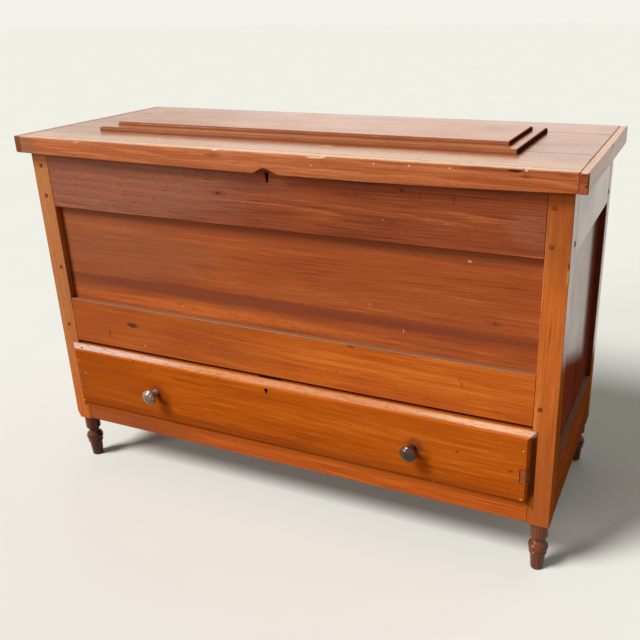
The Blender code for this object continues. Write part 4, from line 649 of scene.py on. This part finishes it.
def middle_rail_marks():
    ledge = (POST_FACE + PANEL_FACE) / 2
    return [
        dash(-0.48, 0.40, POST_FACE, 0.62, 130 * MM, STAIN_AND_SHADE_COLOUR, 0.32),
        Mark((0.0, ledge, 0.454), (WHOLE_LENGTH, 14 * MM, 1.4 * MM), DULL_WOOD, 0.9),
        *knot(-0.387, 0.4097, POST_FACE),
        dash(-0.387, 0.4097, POST_FACE, 20 * MM, 8 * MM, KNOT_AND_SHADE_COLOUR, 0.85),
        dash(-0.4606, 0.3784, POST_FACE, 3.0 * MM, 10 * MM, KNOT_AND_SHADE_COLOUR, 0.8),
        dash(0.4180, 0.4190, POST_FACE, 1.6 * MM, 6 * MM, STAIN_AND_SHADE_COLOUR, 0.75),
        dash(0.4225, 0.4065, POST_FACE, 1.6 * MM, 8 * MM, STAIN_AND_SHADE_COLOUR, 0.75),
        dot(0.1493, 0.3875, POST_FACE, 2.6 * MM, KNOT_AND_SHADE_COLOUR, 0.7),
        dash(0.1828, 0.4500, POST_FACE, 12 * MM, 4 * MM, KNOT_AND_SHADE_COLOUR, 0.6),
        dot(-0.3584, 0.3609, POST_FACE, 2.4 * MM, CHIP_COLOUR, 0.5),
    ]


def knob_shadow(node):
    """Painted shadow of a knob on the drawer front, above and to its right."""
    low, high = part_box(node)
    x = (low.x + high.x) / 2
    z = (low.z + high.z) / 2
    return dot(x + 4 * MM, z + 5 * MM, DRAWER_FACE, 21 * MM, STAIN_AND_SHADE_COLOUR, 0.65)


def lit_chamfer_mark(x, half_length, colour, strength):
    """A stretch of the chamfer along the drawer's top, painted paler: painted light and highlight.
    """
    size = (half_length, 9 * MM, 9 * MM)
    return Mark((x, DRAWER_FACE + 8 * MM, 0.330), size, colour, strength)


def drawer_marks():
    lip = (0.0, DRAWER_FACE + 14 * MM, 0.165)
    return [
        knob_shadow("drawer_left_knob"),
        knob_shadow("drawer_right_knob"),
        keyhole_shade(-0.0215, 0.3125, DRAWER_FACE),
        # Painted shade on the drawer's right chamfer, which faces away from the light
        Mark((0.572, DRAWER_FACE + 10 * MM, 0.245), (14 * MM, 8 * MM, 0.2), KNOT_AND_SHADE_COLOUR, 0.85),
        # Painted light: the upward chamfer made paler all along
        lit_chamfer_mark(0.0, WHOLE_LENGTH, LIT_CHAMFER_COLOUR, 0.5),
        # Painted light: the downward lip made bright against the shade that falls on it
        Mark(lip, (WHOLE_LENGTH, 12 * MM, 32 * MM), LIT_ORANGE_COLOUR, 0.95),
        # Painted highlights at the chamfer's two ends
        lit_chamfer_mark(-0.60, 0.40, CHAMFER_GLARE_COLOUR, 0.7),
        lit_chamfer_mark(0.60, 0.32, PAINTED_SHEEN_COLOUR, 0.48),
        dash(-0.56, 0.23, DRAWER_FACE, 0.30, 0.14, SHADE_COLOUR, 0.28),
        dash(-0.15, 0.186, DRAWER_FACE, 0.75, 17 * MM, SHADE_COLOUR, 0.5),
        dot(0.421, 0.2614, DRAWER_FACE, 4 * MM, STAIN_AND_SHADE_COLOUR, 0.75),
        dot(0.3707, 0.1778, DRAWER_FACE, 2.4 * MM, CHIP_COLOUR, 0.55),
        dash(0.5317, 0.243, DRAWER_FACE, 8 * MM, 2.4 * MM, KNOT_AND_SHADE_COLOUR, 0.75),
        dot(-0.3392, 0.3082, DRAWER_FACE, 2.6 * MM, KNOT_AND_SHADE_COLOUR, 0.7),
        dash(-0.3892, 0.3215, DRAWER_FACE, 4 * MM, 3 * MM, STAIN_AND_SHADE_COLOUR, 0.7),
        dash(-0.1486, 0.3216, DRAWER_FACE, 5 * MM, 2 * MM, STAIN_AND_SHADE_COLOUR, 0.6),
    ]


def strip_marks():
    top = LID_FACE
    return [
        dash(0.47, 0.815, STRIP_FACE, 0.26, 26 * MM, LIT_ORANGE_COLOUR, 0.08),
        dash(-0.615, 0.824, STRIP_FACE, 50 * MM, 34 * MM, DULL_WOOD, 0.5),
        dash(0.600, 0.838, STRIP_FACE, 22 * MM, 4.0 * MM, KNOT_AND_SHADE_COLOUR, 0.45),
        # Painted reflection: a pale sheen along the strip's top
        Mark((0.0, STRIP_FACE + 10 * MM, top), (WHOLE_LENGTH, 12 * MM, 3 * MM), PAINTED_SHEEN_COLOUR, 0.85),
        dash(-0.1013, 0.8316, STRIP_FACE, 24 * MM, 5 * MM, STAIN_AND_SHADE_COLOUR, 0.5),
        dash(-0.0955, top - 2 * MM, STRIP_FACE, 8 * MM, 2.5 * MM, CHIP_COLOUR, 0.7),
        dash(0.1300, top - 4 * MM, STRIP_FACE, 22 * MM, 2.2 * MM, CHIP_COLOUR, 0.8),
        dash(0.1450, top - 1 * MM, STRIP_FACE, 9 * MM, 3.0 * MM, CHIP_COLOUR, 0.75),
        dot(0.1214, 0.8247, STRIP_FACE, 1.6 * MM, CHIP_COLOUR),
        dot(0.2504, 0.8358, STRIP_FACE, 2.0 * MM, CHIP_COLOUR),
        dot(0.3196, 0.8363, STRIP_FACE, 2.0 * MM, CHIP_COLOUR),
        dot(0.3957, 0.8368, STRIP_FACE, 2.0 * MM, CHIP_COLOUR),
        dash(0.470, 0.840, STRIP_FACE, 70 * MM, 4.5 * MM, STAIN_AND_SHADE_COLOUR, 0.6),
        dash(0.513, 0.8400, STRIP_FACE, 15 * MM, 3.4 * MM, HOLE_COLOUR, 0.9),
        dash(0.530, 0.8310, STRIP_FACE, 11 * MM, 4.0 * MM, KNOT_AND_SHADE_COLOUR, 0.45),
        Mark((0.530, STRIP_FACE + 5 * MM, 0.843), (7 * MM, 5 * MM, 7 * MM), CHIP_COLOUR, 0.85),
        dash(-0.4524, 0.8390, STRIP_FACE, 9 * MM, 1.5 * MM, CHIP_COLOUR, 0.7),
        dot(-0.5000, 0.8430, STRIP_FACE, 1.6 * MM, CHIP_COLOUR),
    ]


def lid_front_marks():
    """The lid's front edge with a painted reflection, a pale sheen of glare, and a chip before the
    raised panel.
    """
    edge = (0.0, STRIP_FACE + 30 * MM, LID_FACE)
    return [
        Mark(edge, (WHOLE_LENGTH, 70 * MM, 9 * MM), PAINTED_SHEEN_COLOUR, 0.45),
        Mark((0.1092, -0.1478, LID_FACE), (14 * MM, 5 * MM, 4 * MM), CHIP_COLOUR, 0.95),
    ]


def end_strip_marks():
    """Cracks and a nail hole in the end grain at the lid's front corner, and a painted reflection,
    a pale sheen, on the end strip's top.
    """
    return [
        dot(0.631, 0.8207, STRIP_FACE, 2.6 * MM, HOLE_COLOUR),
        dot(0.630, 0.8270, STRIP_FACE, 1.8 * MM, HOLE_COLOUR, 0.8),
        dash(0.6265, 0.839, STRIP_FACE, 6 * MM, 2 * MM, HOLE_COLOUR, 0.8),
        dash(0.6225, 0.830, STRIP_FACE, 1.5 * MM, 7 * MM, KNOT_AND_SHADE_COLOUR, 0.6),
        Mark((0.635, STRIP_FACE, 0.827), (3 * MM, 3 * MM, 28 * MM), HOLE_COLOUR, 0.85),
        Mark((0.627, STRIP_FACE, 0.835), (9 * MM, 3 * MM, 12 * MM), STAIN_AND_SHADE_COLOUR, 0.45),
        dash(0.6270, LID_FACE, STRIP_FACE, 7 * MM, 3.0 * MM, CHIP_COLOUR, 0.6),
        # Painted reflection: a pale sheen on the end strip's top
        Mark((0.627, 0.0, LID_FACE), (10 * MM, 0.7, 2.5 * MM), PAINTED_SHEEN_COLOUR, 0.5),
        Mark((0.635, 0.030, LID_FACE - 3 * MM), (5 * MM, 16 * MM, 4 * MM), KNOT_AND_SHADE_COLOUR, 0.8),
    ]


def right_post_marks():
    return [
        # Darker towards the top: painted shade under the lid, with mottling
        dash(0.59, 0.78, POST_FACE, 60 * MM, 0.16, STAIN_AND_SHADE_COLOUR, 0.42),
        dash(0.59, 0.14, POST_FACE, 60 * MM, 0.22, STAIN_AND_SHADE_COLOUR, 0.36),
        Mark((END_FACE, POST_FACE, 0.652), (5 * MM, 4 * MM, 20 * MM), BARE_WOOD, 0.8),
        Mark((END_FACE, POST_FACE, 0.674), (4 * MM, 4 * MM, 8 * MM), KNOT_AND_SHADE_COLOUR, 0.9),
    ]


def shaded_right_end(node):
    """Painted shade over the end grain at the right end of a raised panel, which faces away from
    the light.
    """
    low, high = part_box(node)
    middle = (low + high) / 2
    return [Mark((high.x, middle.y, middle.z), (5 * MM, 1.0, 1.0), KNOT_AND_SHADE_COLOUR, 1.0)]


def lower_panel_marks():
    """The lower raised panel's front face, dark and darkest at its left end."""
    low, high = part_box("lid_lower_raised_panel")
    z = (low.z + high.z) / 2
    return [
        *shaded_right_end("lid_lower_raised_panel"),
        Mark((-0.25, low.y, z), (0.45, 5 * MM, 14 * MM), NOSING_COLOUR, 0.75),
        Mark((low.x, low.y, z), (7 * MM, 7 * MM, 14 * MM), KNOT_AND_SHADE_COLOUR, 0.8),
    ]


def reveal_shade_marks():
    """Painted shade in the reveal between the right end panel and the rear post."""
    low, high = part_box("rear_right_post")
    return [Mark((high.x, low.y, 0.46), (22 * MM, 6 * MM, 0.9), KNOT_AND_SHADE_COLOUR, 0.85)]


def right_ledge_marks():
    """Dust on the ledge under the right end panel."""
    low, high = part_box("right_bottom_rail")
    middle = (low.y + high.y) / 2
    return [Mark((high.x - 6 * MM, middle, high.z), (14 * MM, 0.6, 2.0 * MM), DUST_COLOUR, 0.8)]


MARKS = {
    "front_top_rail": top_rail_marks(),
    "front_panel": panel_marks(),
    "front_middle_rail": middle_rail_marks(),
    "front_bottom_rail": [dash(-0.58, 0.14, POST_FACE, 0.40, 60 * MM, STAIN_AND_SHADE_COLOUR, 0.5)],
    # Painted reflection of the side light: the left post's front made paler
    "front_left_post": [dash(-0.59, 0.85, POST_FACE, 0.12, 0.75, POST_GLARE_COLOUR, 0.42)],
    "front_right_post": right_post_marks(),
    "rear_right_post": reveal_shade_marks(),
    "right_bottom_rail": right_ledge_marks(),
    "drawer_front": drawer_marks(),
    "lid_front_board": lid_front_marks(),
    "lid_front_strip": strip_marks(),
    "lid_left_end_strip": [dash(-0.627, 0.826, STRIP_FACE, 9 * MM, 30 * MM, KNOT_AND_SHADE_COLOUR, 0.5)],
    "lid_right_end_strip": end_strip_marks(),
    "lid_lower_raised_panel": lower_panel_marks(),
    "lid_upper_raised_panel": shaded_right_end("lid_upper_raised_panel"),
}


def finish_of(node):
    """The wood finish of a piece, from its place in the chest."""
    if node.endswith("_post"):
        return "post"
    if node.endswith("_foot"):
        return "turned"
    if node.endswith("_knob"):
        return "lit_knob" if "left" in node else "knob"
    if node.endswith("_patch"):
        return "patch"
    if node == "drawer_front":
        return "drawer"
    if node.startswith("lid_"):
        if node.endswith("end_strip"):
            return "end_strip"
        if node.endswith("raised_panel"):
            return "raised"
        return "strip" if node.endswith("strip") else "lid"
    if node.startswith(("left_", "right_")) and node.endswith(("_panel", "_rail")):
        return "end_panel" if node.endswith("_panel") else "end_rail"
    if node.startswith("front_"):
        if node.endswith("panel"):
            return "panel"
        if node.endswith("top_rail"):
            return "top_rail"
        if node.endswith("_rail"):
            return "middle_rail"
    return "inside"


def grain_axis(node):
    """The axis that a piece's grain follows."""
    if node.endswith(("_post", "_foot")) or node in ("left_panel", "right_panel"):
        return "z"
    if node.endswith(("_knob", "_side", "_runner", "_guide", "_ledger", "end_strip")):
        return "y"
    if node.startswith(("left_", "right_")):
        return "y"
    return "x"


def dress_solids():
    """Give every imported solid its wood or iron."""
    iron = old_iron()
    for seed, (node, piece) in enumerate(sorted(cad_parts.items())):
        material = iron
        if "hinge" not in node and "lock" not in node:
            finish = FINISHES[finish_of(node)]
            marks = MARKS.get(node, ())
            material = timber(f"{node} wood", finish, grain_axis(node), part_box(node), seed, marks)
        for slot in piece.material_slots:
            slot.material = material


def piece_from(name, shape, material, body):
    """A new piece from a bmesh, riding on a body."""
    bmesh.ops.recalc_face_normals(shape, faces=shape.faces)
    mesh = bpy.data.meshes.new(name)
    shape.to_mesh(mesh)
    shape.free()
    mesh.materials.append(material)
    made = bpy.data.objects.new(name, mesh)
    bpy.context.scene.collection.objects.link(made)
    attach(made, body)
    return made


def facing(normal, place):
    """A frame whose Z looks along a normal, at a place."""
    turn = Vector(normal).normalized().to_track_quat("Z", "Y")
    return Matrix.Translation(place) @ turn.to_matrix().to_4x4()


def add_loft(shape, loops):
    """Close a skin through loops of points."""
    rings = [[shape.verts.new(point) for point in loop] for loop in loops]
    for first, second in zip(rings, rings[1:]):
        for index in range(len(first)):
            after = (index + 1) % len(first)
            shape.faces.new((first[index], first[after], second[after], second[index]))
    shape.faces.new(rings[0])
    shape.faces.new(rings[-1])


def polygon(sides, radius, height, turn=0.0):
    angles = [turn + 2 * pi * step / sides for step in range(sides)]
    return [Vector((radius * cos(angle), radius * sin(angle), height)) for angle in angles]


def add_stud(shape, matrix, profile, sides, turn=0.0):
    """A small turned or squared head: radius and height pairs, set by a matrix."""
    loops = [polygon(sides, radius, height, turn) for radius, height in profile]
    add_loft(shape, [[matrix @ point for point in loop] for loop in loops])


# Small fasteners: radius and height pairs of their heads, and sides
PEG_PROFILE = (
    (6.4 * MM, -4 * MM),
    (6.4 * MM, 0.2 * MM),
    (5.6 * MM, 0.6 * MM),
    (2.0 * MM, 0.8 * MM),
)
FILL_PROFILE = (
    (2.2 * MM, -2 * MM),
    (2.2 * MM, 0.05 * MM),
    (1.6 * MM, 0.25 * MM),
    (0.5 * MM, 0.3 * MM),
)
SCREW_PROFILE = ((3.0 * MM, -1 * MM), (3.0 * MM, 0.06 * MM), (2.8 * MM, 0.1 * MM))
PEG_SIDES = 4
PEG_TURN = pi / 4
FILL_SIDES = 10
NAIL_SIDES = 12
SCREW_SIDES = 16
SLOT_HALF = (2.6 * MM, 0.4 * MM)
SLOT_TOP = 0.13 * MM

LEFT_PEG_X = -0.588
RIGHT_PEG_X = 0.578
PEG_HEIGHTS = (0.7765, 0.7065, 0.3835)
EXTRA_PEG = (-0.5815, POST_FACE, 0.533)
END_PEG_Y = -0.188
END_PEG_HEIGHTS = (0.7053, 0.19)
PEG_SEED = 71
LEFT_NAILS = ((-0.5465, 0.2622), (-0.564, 0.2948), (-0.565, 0.182))
RIGHT_NAILS = ((0.555, 0.2942), (0.555, 0.182))
BARE_NAIL = (-0.5512, -0.2329, 0.3284)
BARE_NAIL_FACING = (0, -1, 1)
HINGE_SCREW_PITCH = 16 * MM
HINGE_SCREW_INSET = 9 * MM
LOCK_SCREW_INSET = 6 * MM


def peg_places():
    """Places and directions of the square draw-bore pegs in the posts."""
    pegs = [((x, POST_FACE, z), FORWARD) for x in (LEFT_PEG_X, RIGHT_PEG_X) for z in PEG_HEIGHTS]
    pegs.append((EXTRA_PEG, FORWARD))
    rear_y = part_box("rear_right_post")[1].y - (END_PEG_Y - POST_FACE)
    for side in (-1, 1):
        for y in (END_PEG_Y, rear_y):
            pegs.extend(((side * END_FACE, y, z), (side, 0, 0)) for z in END_PEG_HEIGHTS)
    return pegs


def make_pegs():
    shape = bmesh.new()
    for place, normal in peg_places():
        add_stud(shape, facing(normal, place), PEG_PROFILE, PEG_SIDES, PEG_TURN)
    wood = timber("peg wood", FINISHES["peg"], "y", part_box("front_left_post"), PEG_SEED)
    piece_from("case_pegs", shape, wood, "case")


def make_drawer_fills():
    """Putty over the nails at the drawer front's ends, and one bare nail in its top chamfer."""
    putty = plain("putty", PUTTY_COLOUR, PUTTY_ROUGHNESS)
    shape = bmesh.new()
    for x, z in LEFT_NAILS + RIGHT_NAILS:
        add_stud(shape, facing(FORWARD, (x, DRAWER_FACE, z)), FILL_PROFILE, FILL_SIDES)
    piece_from("drawer_nail_fills", shape, putty, "drawer")
    nail = plain("bare nail", KNOT_AND_SHADE_COLOUR, NAIL_ROUGHNESS)
    shape = bmesh.new()
    add_stud(shape, facing(BARE_NAIL_FACING, BARE_NAIL), FILL_PROFILE, NAIL_SIDES)
    piece_from("drawer_nail", shape, nail, "drawer")


def add_screw(heads, slots, place, normal):
    matrix = facing(normal, place)
    add_stud(heads, matrix, SCREW_PROFILE, SCREW_SIDES)
    across, thick = SLOT_HALF
    corners = ((-across, -thick), (across, -thick), (across, thick), (-across, thick))
    levels = (0.0, SLOT_TOP)
    add_loft(slots, [[matrix @ Vector((x, y, level)) for x, y in corners] for level in levels])


def make_screws(name, body, places, iron, dark):
    """Slotted screw heads, with their slots as thin black strips: painted shade for the grooves."""
    heads = bmesh.new()
    slots = bmesh.new()
    for place, normal in places:
        add_screw(heads, slots, place, normal)
    piece_from(f"{name}_screws", heads, iron, body)
    piece_from(f"{name}_screw_slots", slots, dark, body)


def leaf_screws(node, face, normal):
    """Three screws in a row on a hinge leaf."""
    low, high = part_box(node)
    middle = (low.x + high.x) / 2
    y = low.y + HINGE_SCREW_INSET
    return [((middle + step * HINGE_SCREW_PITCH, y, face), normal) for step in (-1, 0, 1)]


def plate_screws(node):
    """Screws at the four corners of a lock's inner face."""
    low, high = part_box(node)
    xs = (low.x + LOCK_SCREW_INSET, high.x - LOCK_SCREW_INSET)
    zs = (low.z + LOCK_SCREW_INSET, high.z - LOCK_SCREW_INSET)
    return [((x, high.y, z), BACKWARD) for x in xs for z in zs]


def make_ironwork():
    iron = bpy.data.materials["old iron"]
    # Painted shade: the slots' grooves drawn black
    dark = plain("screw slot shade", HOLE_COLOUR, SLOT_ROUGHNESS)
    case_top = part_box("front_left_post")[1].z
    lid_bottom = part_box("lid_rear_board")[0].z
    case_places = plate_screws("chest_lock_case")
    lid_places = []
    for side in ("left", "right"):
        case_places.extend(leaf_screws(f"{side}_hinge_case_leaf", case_top, UPWARD))
        lid_places.extend(leaf_screws(f"{side}_hinge_lid_leaf", lid_bottom, DOWNWARD))
    make_screws("case", "case", case_places, iron, dark)
    make_screws("lid", "lid", lid_places, iron, dark)
    make_screws("drawer_lock", "drawer", plate_screws("drawer_lock_case"), iron, dark)


def seen_rays(tree):
    """1 for what the camera sees straight or in a gloss or glass, 0 for light that bounces on."""
    ray = put(tree, "ShaderNodeLightPath").outputs
    seen = maths(tree, "ADD", ray["Is Camera Ray"], ray["Is Glossy Ray"])
    return maths(tree, "MINIMUM", maths(tree, "ADD", seen, ray["Is Transmission Ray"]), 1.0)


def make_floor():
    """A pale floor that throws less light back up than it shows."""
    shape = bmesh.new()
    bmesh.ops.create_grid(shape, x_segments=1, y_segments=1, size=FLOOR_SIZE / 2)
    mesh = bpy.data.meshes.new("floor")
    shape.to_mesh(mesh)
    shape.free()
    material, tree, shader = new_material("pale floor")
    place = put(tree, "ShaderNodeTexCoord").outputs["Object"]
    shade = tuple(channel * FLOOR_SHADE for channel in FLOOR_COLOUR)
    colour = mixed(tree, noise(tree, place, FLOOR_SCALE, 3.0), shade, FLOOR_COLOUR)
    feed(tree, shader.inputs["Base Color"], mixed(tree, seen_rays(tree), FLOOR_BOUNCE, colour))
    shader.inputs["Roughness"].default_value = FLOOR_ROUGHNESS
    shader.inputs["Specular IOR Level"].default_value = 0.0
    mesh.materials.append(material)
    floor = bpy.data.objects.new("floor", mesh)
    bpy.context.scene.collection.objects.link(floor)


def make_sky():
    """Pale all round to the camera and in reflections, and softer as a light."""
    world = bpy.data.worlds.new("studio")
    world.use_nodes = True
    bpy.context.scene.world = world
    tree = world.node_tree
    back = tree.nodes["Background"]
    back.inputs["Color"].default_value = (*SKY_COLOUR, 1.0)
    shown = maths(tree, "MULTIPLY", seen_rays(tree), 1.0 - SKY_LIGHT)
    feed(tree, back.inputs["Strength"], maths(tree, "ADD", SKY_LIGHT, shown))


def soft_light(name, source, strength, angle):
    """Even light from one far direction."""
    light = bpy.data.lights.new(name, "SUN")
    light.energy = strength
    light.angle = radians(angle)
    lamp = bpy.data.objects.new(name, light)
    bpy.context.scene.collection.objects.link(lamp)
    lamp.matrix_world = Vector(source).to_track_quat("Z", "Y").to_matrix().to_4x4()


def make_camera():
    """The camera that took the photograph, fitted to the chest's edges."""
    azimuth = radians(CAMERA_AZIMUTH)
    elevation = radians(CAMERA_ELEVATION)
    roll = radians(CAMERA_ROLL)
    back = Vector((sin(azimuth) * cos(elevation), -cos(azimuth) * cos(elevation), sin(elevation)))
    level = Vector((0, 0, 1)).cross(back).normalized()
    upright = back.cross(level)
    right = level * cos(roll) + upright * sin(roll)
    up = upright * cos(roll) - level * sin(roll)
    lens = bpy.data.cameras.new("photo camera")
    lens.sensor_width = SENSOR_WIDTH
    lens.lens = FOCAL_LENGTH * SENSOR_WIDTH / PICTURE_WIDTH
    lens.shift_x = (PICTURE_WIDTH / 2 - LENS_CENTRE[0]) / PICTURE_WIDTH
    lens.shift_y = (LENS_CENTRE[1] - PICTURE_WIDTH / 2) / PICTURE_WIDTH
    camera = bpy.data.objects.new("photo camera", lens)
    bpy.context.scene.collection.objects.link(camera)
    turn = Matrix((right, up, back)).transposed().to_4x4()
    camera.matrix_world = Matrix.Translation(CAMERA_PLACE) @ turn
    bpy.context.scene.camera = camera


dress_solids()
make_pegs()
make_drawer_fills()
make_ironwork()
make_floor()
make_sky()
soft_light("side light", *SIDE_LIGHT)
soft_light("high light", *HIGH_LIGHT)
soft_light("back light", *BACK_LIGHT)
make_camera()
bpy.context.scene.view_settings.view_transform = "Standard"
